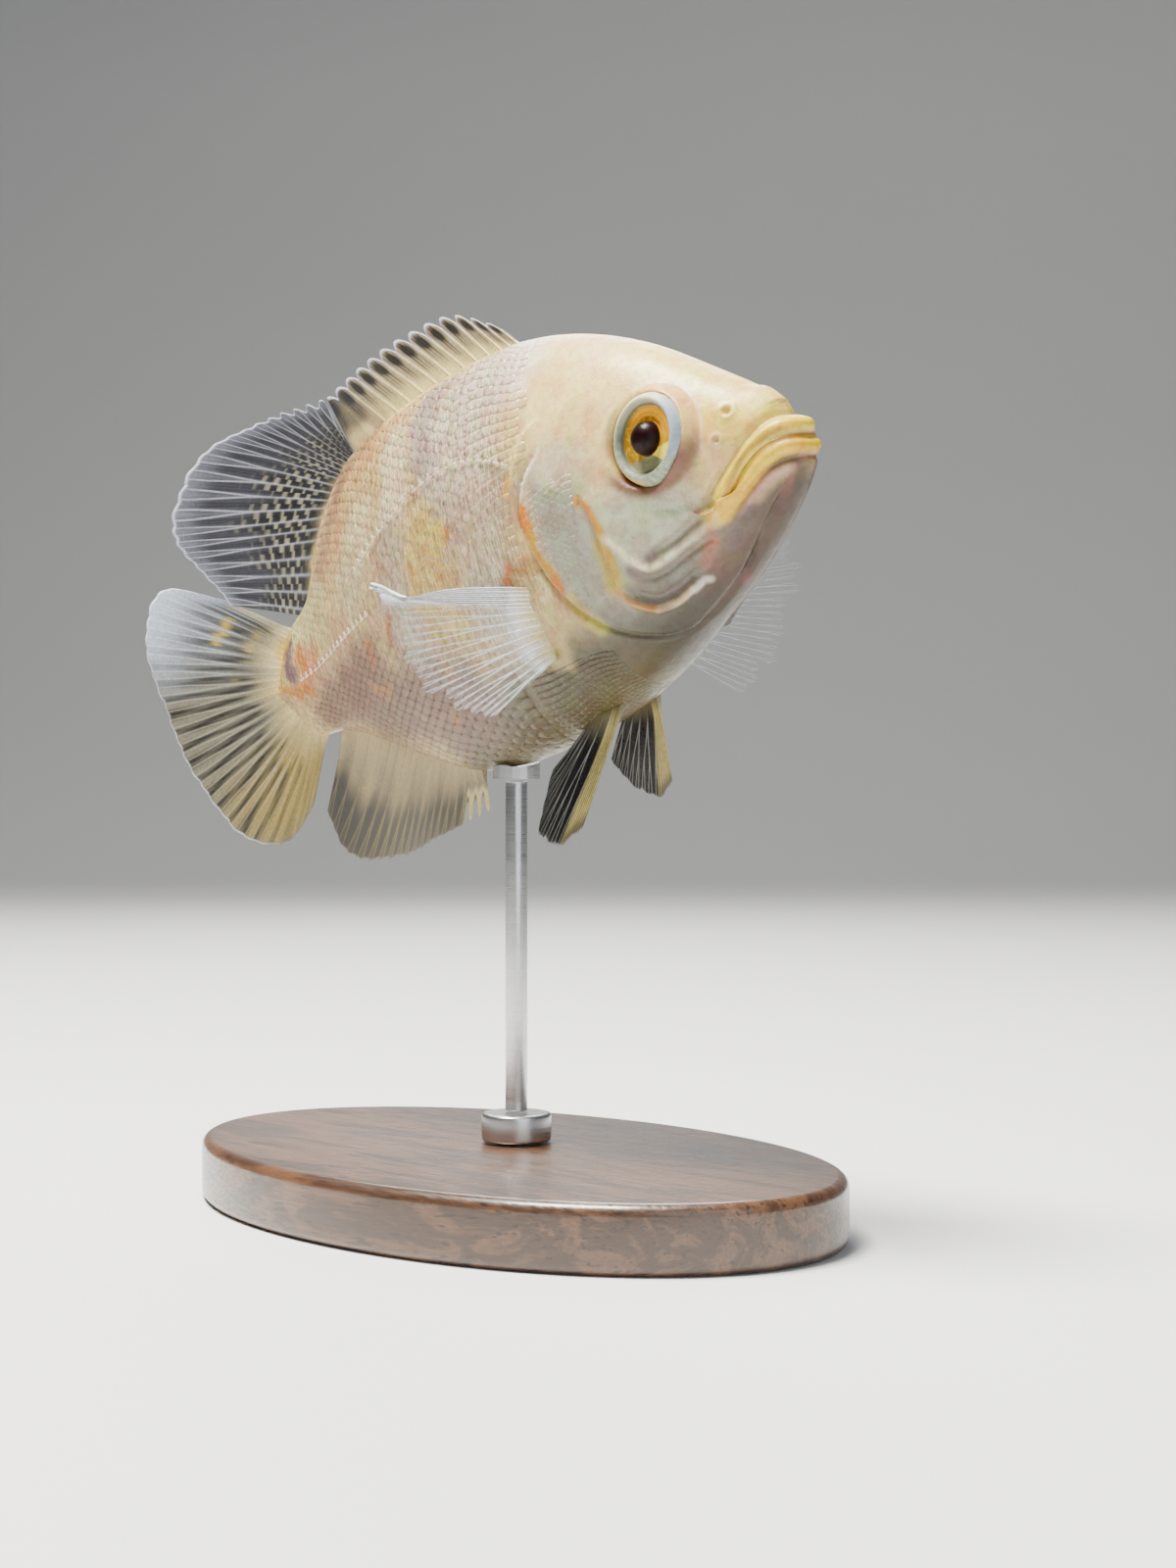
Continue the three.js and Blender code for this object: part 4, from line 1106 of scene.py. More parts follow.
@lru_cache(maxsize=None)
def eye_material():
    """Eye: a dark pupil in a gold iris, in a pale ring. The place is counted from the eye's middle."""
    paint = Paint("oscar_eye")
    place = paint.attribute("place")
    parts = paint.node("ShaderNodeSeparateXYZ", {"Vector": place})
    x, up = parts.outputs["X"], parts.outputs["Z"]
    away = paint.node("ShaderNodeVectorMath", {0: place}, operation="LENGTH").outputs["Value"]
    fibres = paint.noise(place, 1.5, 4.0, 0.6, 0.8)
    wobble = paint.math("ADD", away, paint.math("MULTIPLY", paint.math("SUBTRACT", fibres, 0.5), 0.4))
    gold = paint.mix(paint.range(up, -2.6, 1.8), (0.36, 0.21, 0.0), (1.0, 0.44, 0.0))
    gold = paint.mix(paint.range(x, 0.6, 3.4, 0.0, 0.80), gold, (0.15, 0.10, 0.01))
    over = paint.math("MULTIPLY", paint.range(wobble, 3.3, 2.6), paint.range(up, 0.2, 1.6))
    gold = paint.mix(over, gold, (0.34, 0.11, 0.0))
    arcs = paint.math("SINE", paint.math("MULTIPLY", wobble, 8.0))
    gold = paint.mix(paint.range(arcs, 0.0, 1.0, 0.0, 0.45), gold, (0.36, 0.13, 0.0))
    gold = paint.mix(paint.range(fibres, 0.50, 0.66, 0.0, 0.40), gold, (1.0, 0.60, 0.0))
    gold = paint.mix(paint.range(up, -1.9, -2.5), gold, (0.20, 0.20, 0.10))
    # A painted highlight: a pale yellow wedge low on the iris's front
    slope = paint.math("SUBTRACT", x, paint.math("MULTIPLY", up, 1.27))
    wedge = paint.math("MULTIPLY", paint.range(slope, 2.7, 2.4), paint.range(up, -1.5, -1.8))
    gold = paint.mix(wedge, gold, (0.86, 0.66, 0.04))
    ring = paint.mix(paint.range(fibres, 0.4, 0.65), (0.20, 0.24, 0.16), (0.34, 0.38, 0.28))
    # The ring is cream towards its top, with a painted highlight there
    ring = paint.mix(paint.range(up, 1.0, 4.4, 0.0, 0.95), ring, (0.62, 0.58, 0.38))
    ring = paint.mix(paint.range(x, -3.2, -4.8, 0.0, 0.7), ring, (0.26, 0.31, 0.42))
    rear = paint.math("MULTIPLY", paint.range(away, 5.0, 5.7), paint.range(x, 0.5, 3.5))
    ring = paint.mix(rear, ring, (0.60, 0.38, 0.12))
    # Painted shade on the ring's inner wall, next to the iris
    ring = paint.mix(paint.range(away, 5.3, 4.6, 0.0, 0.5), ring, (0.12, 0.15, 0.14))
    shade = paint.mix(paint.range(away, 2.24, 2.34), (0.010, 0.001, 0.002), gold)
    shade = paint.mix(paint.range(wobble, 4.15, 4.35), shade, (0.12, 0.12, 0.07))
    shade = paint.mix(paint.range(away, 4.40, 4.60), shade, ring)
    paint.set(
        Base_Color=shade,
        Roughness=paint.range(away, 4.2, 5.0, 0.30, 0.45),
        Normal=paint.bump(fibres, 0.00005),
        Specular_IOR_Level=0.12,
    )
    return paint.material


@lru_cache(maxsize=None)
def cornea_material():
    """Clear front of the eye."""
    paint = Paint("oscar_cornea")
    place = paint.attribute("place")
    film = paint.noise(place, 0.8, 2.0)
    paint.set(
        Base_Color=(0.01, 0.01, 0.01),
        Roughness=paint.range(film, 0.3, 0.7, 0.02, 0.05),
        IOR=1.376,
        Alpha=0.06,
        Specular_IOR_Level=0.35,
    )
    return paint.material


def wood_material(light, dark):
    """Varnished walnut: long rings cut along the trunk, with pores and fine fibres."""
    paint = Paint("stand_walnut")
    place = paint.node("ShaderNodeTexCoord").outputs["Object"]
    grain = paint.stretch(place, (28.0, 190.0, 190.0))
    drift = paint.noise(paint.stretch(place, (9.0, 40.0, 40.0)), 1.0, 3.0, 0.5)
    rings = paint.noise(grain, 1.0, 5.0, 0.62, 0.6)
    bands = paint.math("SINE", paint.math("MULTIPLY", paint.math("ADD", drift, rings), 22.0))
    fibres = paint.noise(paint.stretch(place, (120.0, 2600.0, 2600.0)), 1.0, 2.0, 0.5)
    pores = paint.noise(paint.stretch(place, (160.0, 1500.0, 1500.0), (3, 1, 2)), 1.0, 1.0, 0.5)
    shade = paint.mix(paint.range(bands, -1.0, 1.0), dark, light)
    shade = paint.mix(paint.range(fibres, 0.35, 0.65, 0.0, 0.45), shade, (0.05, 0.022, 0.01))
    shade = paint.mix(paint.range(pores, 0.62, 0.70, 0.0, 0.8), shade, (0.012, 0.006, 0.003))
    paint.set(
        Base_Color=shade,
        Roughness=paint.range(fibres, 0.3, 0.7, 0.30, 0.46),
        Normal=paint.bump(paint.math("SUBTRACT", fibres, pores), 0.00004),
        Coat_Weight=0.55,
        Coat_Roughness=0.14,
    )
    return paint.material


def steel_material(shade):
    """Turned steel: fine rings round the rod, and faint brushing."""
    paint = Paint("stand_steel")
    place = paint.node("ShaderNodeTexCoord").outputs["Object"]
    turning = paint.noise(paint.stretch(place, (60.0, 60.0, 9000.0)), 1.0, 1.0, 0.5)
    clouds = paint.noise(place, 90.0, 3.0, 0.6)
    paint.set(
        Base_Color=paint.mix(paint.range(clouds, 0.35, 0.65, 0.0, 0.25), shade, (0.30, 0.30, 0.31)),
        Metallic=1.0,
        Roughness=paint.range(turning, 0.3, 0.7, 0.27, 0.34),
        Normal=paint.bump(turning, 0.000001),
    )
    return paint.material


def floor_material(shade):
    """Pale matt floor with the faintest unevenness."""
    paint = Paint("stage_floor")
    place = paint.node("ShaderNodeTexCoord").outputs["Object"]
    clouds = paint.noise(place, 3.0, 2.0)
    paint.set(
        Base_Color=paint.mix(paint.range(clouds, 0.3, 0.7, 0.0, 0.3), shade, tuple(0.94 * c for c in shade)),
        Roughness=0.75,
        Specular_IOR_Level=0.2,
    )
    return paint.material


# Settings that a user would change
def length(name, description, millimetres):
    """A length setting."""
    return bpy.props.FloatProperty(
        name=name, description=description, default=millimetres * MM, unit="LENGTH"
    )


def tint(name, description, default):
    """A colour setting."""
    return bpy.props.FloatVectorProperty(
        name=name, description=description, default=default, subtype="COLOR"
    )


class OscarSkinSettings(bpy.types.PropertyGroup):
    coat_depth: length("Coat depth", "How far the skin lies below the outer shape of the scaled body", 0.38)


class OscarScaleSettings(bpy.types.PropertyGroup):
    pitch: length("Scale pitch", "Distance between two rows of scales on the flank", 1.8)
    thickness: length("Scale thickness", "Thickness of a scale at its middle", 0.018)


class OscarFinSettings(bpy.types.PropertyGroup):
    web: length("Web thickness", "Thickness of the skin between two rays at its edge", 0.14)
    foot: length("Foot thickness", "Thickness of a fin where it leaves the body", 1.10)


class OscarEyeSettings(bpy.types.PropertyGroup):
    iris_radius: length("Iris radius", "Outer radius of the gold iris", 4.35)
    pupil_radius: length("Pupil radius", "Radius of the pupil, through which the round lens stands out", 2.28)
    dome: length("Dome height", "How far the clear front stands out over the iris", 1.3)


class OscarStandSettings(bpy.types.PropertyGroup):
    light_wood: tint("Light wood", "Colour of the walnut between its rings", (0.115, 0.052, 0.024))
    dark_wood: tint("Dark wood", "Colour of the walnut's rings", (0.040, 0.017, 0.008))
    steel: tint("Steel", "Colour of the rod and its fittings", (0.56, 0.56, 0.57))
    bevel: length("Bevel", "Rounding of the base's upper and lower edge", 1.5)


class OscarStageSettings(bpy.types.PropertyGroup):
    floor_colour: tint("Floor colour", "Colour of the floor", (0.72, 0.73, 0.74))
    lens: bpy.props.FloatProperty(
        name="Lens", description="Focal length of the camera", default=54.0, unit="CAMERA"
    )
    key: bpy.props.FloatProperty(
        name="Key light", description="Strength of the light from above", default=27.0, unit="POWER"
    )


class OSCAR_OT_skin(bpy.types.Operator):
    """Builds the skin over the head, the jaw, the gill covers, the trunk and the tail"""

    bl_idname = "oscar.skin"
    bl_label = "Build skin"

    def execute(self, context):
        depth = context.scene.oscar_skin.coat_depth / MM
        rings = [hoop + k / count for hoop, count in enumerate(RINGS_PER_HOOP) for k in range(count)]
        rings += [LAST_HOOP]
        points, _, _ = skin_surface(rings, SKIN_COLUMNS, depth)
        mesh, row, column = grid_mesh("skin", len(rings) - 1, SKIN_COLUMNS)
        straight = points[row, column]
        tone = eye_ring_colour(marks_at(straight), straight)
        # Painted shade, brown, along the mouth's slit
        tone = blend(tone, "a06a24", 0.8 * bump(np.array(rings)[row] / 0.10))
        set_points(mesh, straight)
        keep_skin(mesh, straight, tone)
        close_mesh(mesh)
        flesh = ("head", "lower_jaw", "gill_cover_left", "gill_cover_right", "trunk", "tail")
        add_piece("skin", mesh, skin_material(), flesh)
        return {"FINISHED"}


def scale_shape(thickness):
    """One scale as a closed solid. x runs back from its root, from -0.3 to 1, y across, from -1 to 1,
    and z up, in millimetres."""
    bm = bmesh.new()
    bmesh.ops.create_grid(bm, x_segments=4, y_segments=3, size=1.0)
    for vert in bm.verts:
        x, y = vert.co.x, vert.co.y
        back = 0.5 + 0.5 * x
        wide = math.sqrt(max(0.0, 1 - 0.62 * back**2.2))
        vert.co.x = -0.3 + 1.3 * back * (1 - 0.20 * y * y)
        vert.co.y = y * (0.55 + 0.45 * math.sin(math.pi * min(1, 0.25 + back * 0.6))) * wide**0.5
        vert.co.z = 0.0
    bmesh.ops.solidify(bm, geom=bm.faces[:], thickness=thickness)
    bmesh.ops.recalc_face_normals(bm, faces=bm.faces)
    bm.verts.index_update()
    points = np.array([vert.co[:] for vert in bm.verts])
    faces = np.array([[vert.index for vert in face.verts] for face in bm.faces])
    bm.free()
    points[:, 2] -= points[:, 2].min()
    return points, faces


@lru_cache(maxsize=None)
def scale_bed(depth):
    """Left side of the skin, which scales are laid on, with its normals and its lengths to the back and
    the belly. Its rings lie evenly between hoops."""
    rings = np.linspace(FIRST_SCALED_HOOP, LAST_HOOP, BED_RINGS)
    points, up_length, down_length = skin_surface(rings, BED_COLUMNS, depth)
    left = slice(BED_COLUMNS // 2, None)
    return rings, points[:, left], outward(points)[:, left], up_length, down_length


def lay_scales(name, roots, sizes, inside, lift, thickness, depth, side):
    """One mesh of scales on one side of the fish. roots holds (hoop, height): the hoop counts along
    the body and the height runs up from its widest line, in millimetres. inside is how far in from
    the bed's border each scale lies; they sink into the skin there. lift is how far each scale's free
    end rises over its root."""
    rings, bed, normals, up_length, down_length = scale_bed(depth)
    points, faces = scale_shape(thickness)
    rng = np.random.default_rng(11 if side > 0 else 12)
    side_s = hoop_points(rings, np.array([math.pi / 2]))[:, 0, 0]
    root_s = np.interp(roots[:, 0], rings, side_s)[:, None]
    size = sizes[:, None]
    jitter = 1 + 0.06 * rng.standard_normal((len(roots), 1))
    s = root_s + points[None, :, 0] * size * 1.45 * jitter
    height = roots[:, 1:2] + points[None, :, 1] * size * 0.66 * jitter
    ring = np.interp(s, side_s, rings)
    up = np.interp(ring, rings, up_length)
    down = np.interp(ring, rings, down_length)
    around = 0.5 - 0.5 * np.where(height > 0, height / up, height / down)
    around = np.clip(around, 0, 1)
    row = np.clip((ring - rings[0]) / (rings[-1] - rings[0]) * (len(rings) - 1), 0, len(rings) - 1.001)
    column = around * (bed.shape[1] - 1.001)
    i, j = row.astype(int), column.astype(int)
    u, v = (row - i)[..., None], (column - j)[..., None]

    def between(table):
        near = table[i, j] * (1 - v) + table[i, j + 1] * v
        far = table[i + 1, j] * (1 - v) + table[i + 1, j + 1] * v
        return near * (1 - u) + far * u

    back = points[None, :, 0]
    crown = 0.010 * (1 - points[None, :, 1] ** 2)
    sunk = 0.010 + 0.022 * (1 - smooth(inside[:, None] / 1.8))
    stand = (lift * (back + 0.1) + points[None, :, 2] + crown) * (size / 1.8) ** 0.5 - sunk
    straight = between(bed) + between(normals) * stand[..., None]
    straight = straight * (1, side, 1)
    mesh = bpy.data.meshes.new(name)
    count = len(points)
    all_faces = (faces[None] + np.arange(len(roots))[:, None, None] * count).reshape(-1, 4)
    if side < 0:
        all_faces = all_faces[:, ::-1]
    flat = straight.reshape(-1, 3)
    mesh.from_pydata(to_row(flat), [], all_faces)
    shift = np.repeat(rng.random(len(roots)), count)
    keep_skin(mesh, flat, marks_at(flat), np.tile(points[:, 0], len(roots)), shift)
    root_around = 0.5 + side * 0.5 * around[:, :1] + points[None, :, 1] * 0.0015
    root_along = roots[:, :1] / LAST_HOOP + points[None, :, 0] * 0.0015
    patch = np.stack([root_along, root_around], -1).reshape(-1, 2)
    keep_patches(mesh, patch)
    shade_smooth(mesh)
    add_piece(name, mesh, skin_material())


def scale_roots(pitch, share, start, end, depth):
    """Roots (hoop, height) of scales in staggered rows from start back to end, with their size: share
    of the pitch, and less towards the head and the tail."""
    rings, _, _, up_length, down_length = scale_bed(depth)
    side_s = hoop_points(rings, np.array([math.pi / 2]))[:, 0, 0]
    roots, sizes = [], []
    s = start
    column = 0
    while s < end:
        step = pitch * share * float(0.66 + 0.34 * smooth((s - 36) / 16) - 0.30 * smooth((s - 70) / 40))
        ring = float(np.interp(s, side_s, rings))
        up = float(np.interp(ring, rings, up_length))
        down = float(np.interp(ring, rings, down_length))
        first = -int(down / step)
        for row in range(first, int(up / step) + 1):
            height = (row + 0.5 * (column % 2)) * step
            if -down + 0.2 < height < up - 0.2:
                roots.append((ring, height))
                sizes.append(step)
        s += step * 0.94
        column += 1
    return np.array(roots), np.array(sizes)


def bed_place(roots, depth):
    """Places of scale roots in the straight fish."""
    rings, bed, _, up_length, down_length = scale_bed(depth)
    ring, height = roots.T
    up = np.interp(ring, rings, up_length)
    down = np.interp(ring, rings, down_length)
    around = np.clip(0.5 - 0.5 * np.where(height > 0, height / up, height / down), 0, 1)
    row = np.rint((ring - rings[0]) / (rings[-1] - rings[0]) * (len(rings) - 1)).astype(int)
    return bed[row, np.rint(around * (bed.shape[1] - 1)).astype(int)]


class OSCAR_OT_scales(bpy.types.Operator):
    """Lays overlapping scales on the trunk, the nape, the cheeks and the gill covers"""

    bl_idname = "oscar.scales"
    bl_label = "Lay scales"

    def execute(self, context):
        settings = context.scene.oscar_scales
        depth = context.scene.oscar_skin.coat_depth / MM
        thickness = settings.thickness / MM
        pitch = settings.pitch / MM
        beds = {
            "scales": (scale_roots(pitch, 1.0, 34.0, 117.0, depth), 0.005),
            "breast_scales": (scale_roots(pitch, 0.62, 30.0, 54.0, depth), 0.004),
            "cheek_scales": (scale_roots(pitch, 0.80, 21.0, 42.0, depth), 0.004),
        }
        for word, side in (("left", 1), ("right", -1)):
            for name, ((roots, sizes), lift) in beds.items():
                inside = self.inside(name, bed_place(roots, depth))
                kept = inside > 0
                lay_scales(
                    f"{name}_{word}", roots[kept], sizes[kept], inside[kept], lift, thickness, depth, side
                )
        return {"FINISHED"}

    def inside(self, name, places):
        """How far inside the border of the bed of this name each place lies, in millimetres."""
        s, _, z = places.T
        behind_gill, _ = from_line(places, GILL_EDGE)
        if name == "cheek_scales":
            eye_away = np.hypot(s - EYE_CENTRE[0], z - EYE_CENTRE[2]) - EYE_RADIUS - 3.0
            borders = [-1.0 - behind_gill, 41 - s, s - 31 + 0.25 * z, 7 - z, z + 13, eye_away]
            return np.min(borders, axis=0)
        breast = np.minimum(51 - s, -6 - 0.8 * (s - 40) - z)
        nape = np.where(z > 10, s - 37.0 - 0.6 * np.sin(z * 0.9), s - 34)
        trunk = np.maximum(np.minimum(behind_gill - 0.9, nape), s - 43.5)
        if name == "breast_scales":
            clear_of_fin = np.maximum(s - 44.5, -15.5 - z)
            return np.min([trunk, breast, clear_of_fin], axis=0)
        return np.minimum(trunk, -breast)


# Lateral line in side view: an upper stretch that ends under the soft fin, and a lower one behind it
LATERAL_LINES = [
    [(41.5, 11.3), (44.6, 13.0), (49, 14.7), (54, 15.3), (60, 14.9), (66, 13.6), (73, 11.9), (80, 9.4)],
    [(79.5, 2.4), (88, 1.8), (97, 0.8), (103, 0.2), (108.6, 0.0)],
]


class OSCAR_OT_lateral_line(bpy.types.Operator):
    """Adds the row of small pale tubes along each side"""

    bl_idname = "oscar.lateral_line"
    bl_label = "Add lateral line"

    def execute(self, context):
        depth = context.scene.oscar_skin.coat_depth / MM
        pitch = context.scene.oscar_scales.pitch / MM
        bm = bmesh.new()
        bmesh.ops.create_uvsphere(bm, u_segments=10, v_segments=7, radius=1.0)
        bead = np.array([vert.co[:] for vert in bm.verts])
        bm.verts.index_update()
        bead_faces = [[vert.index for vert in face.verts] for face in bm.faces]
        bm.free()
        spots = []
        for line in LATERAL_LINES:
            placed = on_side(line)
            length = np.linalg.norm(np.diff(placed, axis=0), axis=1).sum()
            count = int(length / (pitch * 0.95))
            centres = along_curve(placed, np.linspace(0, 1, count))
            heading = np.gradient(centres, axis=0)
            heading /= np.linalg.norm(heading, axis=1, keepdims=True)
            spots += list(zip(centres, heading))
        points, faces, patches = [], [], []
        for side in (1, -1):
            for centre, heading in spots:
                root = (centre[0] / TOTAL_LENGTH, 0.5 + side * (0.25 - 0.008 * centre[2]))
                out = np.array([0.0, 1.0, 0.0])
                up = np.cross(heading, out)
                # Each pore is a short tube with a small tooth above it
                for size, shift in (((0.80, 0.22, 0.16), 0.0), ((0.20, 0.42, 0.13), 0.38)):
                    offset = bead * size @ np.array([heading, up, out]) + up * shift
                    patches += [(root[0] + 0.0015 * x, root[1] + 0.0015 * y) for x, y, _ in bead]
                    faces += [[k + len(points) for k in face] for face in bead_faces]
                    points += list((centre + offset + out * (0.08 - depth * 0.25)) * (1, side, 1))
        points = np.array(points)
        mesh = bpy.data.meshes.new("lateral_line")
        mesh.from_pydata(to_row(points), [], faces)
        keep_skin(mesh, points, np.ones(points.shape) * colour("f0eadb"))
        keep_patches(mesh, np.array(patches))
        shade_smooth(mesh)
        add_piece("lateral_line", mesh, skin_material())
        return {"FINISHED"}


class OSCAR_OT_eyes(bpy.types.Operator):
    """Builds both eyes: a ball with a sunken iris and a pupil, and the clear dome over it"""

    bl_idname = "oscar.eyes"
    bl_label = "Build eyes"

    def execute(self, context):
        settings = context.scene.oscar_eyes
        iris = settings.iris_radius / MM
        pupil = settings.pupil_radius / MM
        dome = settings.dome / MM
        # The round lens stands out through the pupil, and the iris lies deep in the ring
        arc = [k * math.pi / 20 for k in range(11)]
        ball_profile = [(pupil * math.sin(turn), 0.95 + 0.94 * pupil * math.cos(turn)) for turn in arc[::2]]
        ball_profile += [
            (pupil + 0.12, 0.86), (iris * 0.8, 0.98), (iris - 0.05, 1.04), (iris + 0.12, 1.30),
            (iris + 0.42, 1.82), (iris + 0.75, 2.00), (EYE_RADIUS - 0.6, 1.72), (EYE_RADIUS - 0.2, 0.9),
            (EYE_RADIUS, -0.2), (EYE_RADIUS * 0.8, -1.9), (0.0, -2.9),
        ]
        rim = iris + 0.5
        cornea_profile = [(rim * math.sin(turn), 1.96 + dome * math.cos(turn)) for turn in arc]
        cornea_profile += [
            ((rim - 0.2) * math.sin(turn), 1.90 + (dome - 0.1) * math.cos(turn)) for turn in reversed(arc)
        ]
        for word, side in (("left", 1), ("right", -1)):
            ball = self.spun(f"eye_ball_{word}", ball_profile, side, True)
            add_piece(f"eye_ball_{word}", ball, eye_material(), (f"eye_{word}",))
            cornea = self.spun(f"cornea_{word}", cornea_profile, side, False)
            add_piece(f"cornea_{word}", cornea, cornea_material(), (f"eye_{word}",))
        return {"FINISHED"}

    def spun(self, name, profile, side, fine):
        """Solid of revolution about the eye's axis, from (radius, height) points, set in the head."""
        smooth_profile = along_curve([(r, 0, h) for r, h in profile], np.linspace(0, 1, 96 if fine else 40))
        smooth_profile[0, 0] = smooth_profile[-1, 0] = 0
        bm = bmesh.new()
        verts = [bm.verts.new(Vector(point)) for point in smooth_profile]
        edges = [bm.edges.new(pair) for pair in zip(verts, verts[1:])]
        bmesh.ops.spin(
            bm, geom=verts + edges, axis=(0, 0, 1), angle=2 * math.pi, steps=EYE_STEPS, use_merge=True
        )
        mesh = mesh_from(bm, name)
        spots = vertex_spots(mesh).astype(float)
        # The eye's own place, seen from outside: x towards the tail, z up
        local = np.stack([spots[:, 0], spots[:, 1] * 0, spots[:, 1]], -1)
        up_turn, front_turn = EYE_TILT
        out = np.array([-math.sin(front_turn), math.cos(front_turn) * math.cos(up_turn), math.sin(up_turn)])
        out /= np.linalg.norm(out)
        above = np.array([0.0, 0.0, 1.0]) - out * out[2]
        above /= np.linalg.norm(above)
        behind = np.cross(above, out) * -1
        behind *= np.sign(behind[0])
        placed = EYE_CENTRE + spots[:, :1] * behind + spots[:, 1:2] * above + spots[:, 2:] * out
        placed = placed * (1, side, 1)
        set_points(mesh, placed)
        keep_place(mesh, local)
        close_mesh(mesh)
        return mesh


class OSCAR_OT_fins(bpy.types.Operator):
    """Builds the eight fins, each one sheet with raised, forking rays"""

    bl_idname = "oscar.fins"
    bl_label = "Build fins"

    def execute(self, context):
        settings = context.scene.oscar_fins
        web = settings.web / MM
        foot = settings.foot / MM
        for name, spec in FINS.items():
            fin = Fin(spec)
            half = 0.5 * fin.thickness(web, foot)[..., None] * fin.normal
            folded = np.concatenate([fin.middle + half, (fin.middle - half)[:, -2::-1]], axis=1)
            mesh, row, column = grid_mesh(name, fin.columns, 2 * fin.rows)
            on_row = np.minimum(column, 2 * fin.rows - column)
            tone, cover = fin.paint()
            set_points(mesh, folded[row, column])
            keep_place(mesh, fin.middle[row, on_row])
            keep_tone(mesh, tone[row, on_row])
            keep_number(mesh, "cover", cover[row, on_row])
            keep_number(mesh, "ray", fin.ray[row, on_row])
            close_mesh(mesh)
            add_piece(f"{name}_webbed", mesh, fin_material(), (name,))
        return {"FINISHED"}


class OSCAR_OT_stand(bpy.types.Operator):
    """Builds the oval base, the boss and the rod of the stand, and makes its cup steel"""

    bl_idname = "oscar.stand"
    bl_label = "Build stand"

    def execute(self, context):
        settings = context.scene.oscar_stand
        steel = steel_material(tuple(settings.steel))
        wood = wood_material(tuple(settings.light_wood), tuple(settings.dark_wood))
        base = self.turned("stand_base", 160, settings.bevel, 5)
        add_piece("walnut_base", base, wood, ("stand_base",))
        for node, name, bevel in (
            ("stand_boss", "steel_boss", 0.5 * MM),
            ("stand_rod", "steel_rod", 0.1 * MM),
        ):
            mesh = self.turned(node, 64, bevel, 3)
            add_piece(name, mesh, steel, (node,))
        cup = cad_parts["stand_cup"]
        cup.data.materials.clear()
        cup.data.materials.append(steel)
        return {"FINISHED"}

    def turned(self, node, sides, bevel, segments):
        """Upright round or oval solid that fills a node's box, with rounded edges."""
        low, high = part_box(node)
        size = high - low
        bm = bmesh.new()
        bmesh.ops.create_circle(bm, cap_ends=True, segments=sides, radius=0.5)
        bmesh.ops.scale(bm, vec=(size.x, size.y, 1), verts=bm.verts)
        bmesh.ops.translate(bm, vec=((low.x + high.x) / 2, (low.y + high.y) / 2, low.z), verts=bm.verts)
        made = bmesh.ops.extrude_face_region(bm, geom=bm.faces[:])
        raised = [item for item in made["geom"] if isinstance(item, bmesh.types.BMVert)]
        bmesh.ops.translate(bm, vec=(0, 0, size.z), verts=raised)
        bmesh.ops.recalc_face_normals(bm, faces=bm.faces)
        rims = [edge for edge in bm.edges if abs(edge.verts[0].co.z - edge.verts[1].co.z) < 1e-7]
        bmesh.ops.bevel(
            bm, geom=rims, offset=bevel, offset_type="OFFSET", segments=segments, profile=0.5,
            affect="EDGES", material=-1,
        )
        mesh = mesh_from(bm, node)
        mesh.polygons.foreach_set("use_smooth", [len(p.vertices) <= 4 for p in mesh.polygons])
        mesh.update()
        return mesh


# Camera: where it stands from the snout, in metres, and its heading from +Y towards -X
CAMERA_FROM_SNOUT = Vector((0.18050, -0.23184, -0.04382))
CAMERA_HEADING = math.radians(43.5)
# Floor, in metres: half its width, how far behind the model it curves up, and the wall's height
FLOOR_HALF = 3.0
FLOOR_DEPTH = 1.1
SWEEP_RADIUS = 0.7
WALL_HEIGHT = 2.5
# Lights: place seen from the fish's middle, width, share of the key light's power, and tint
FISH_MIDDLE = Vector((-0.05, 0, 0))
LAMPS = {
    "key": ((-0.08, -0.17, 0.62), 0.30, 1.0, (1.0, 0.965, 0.87)),
    "fill": ((0.50, -0.20, 0.15), 0.50, 0.05, (0.90, 0.96, 1.0)),
    "rim": ((-0.45, 0.40, 0.40), 0.40, 0.15, (1.0, 0.98, 0.95)),
}
AIR_COLOUR = (0.80, 0.84, 0.90, 1)
AIR_STRENGTH = 0.15


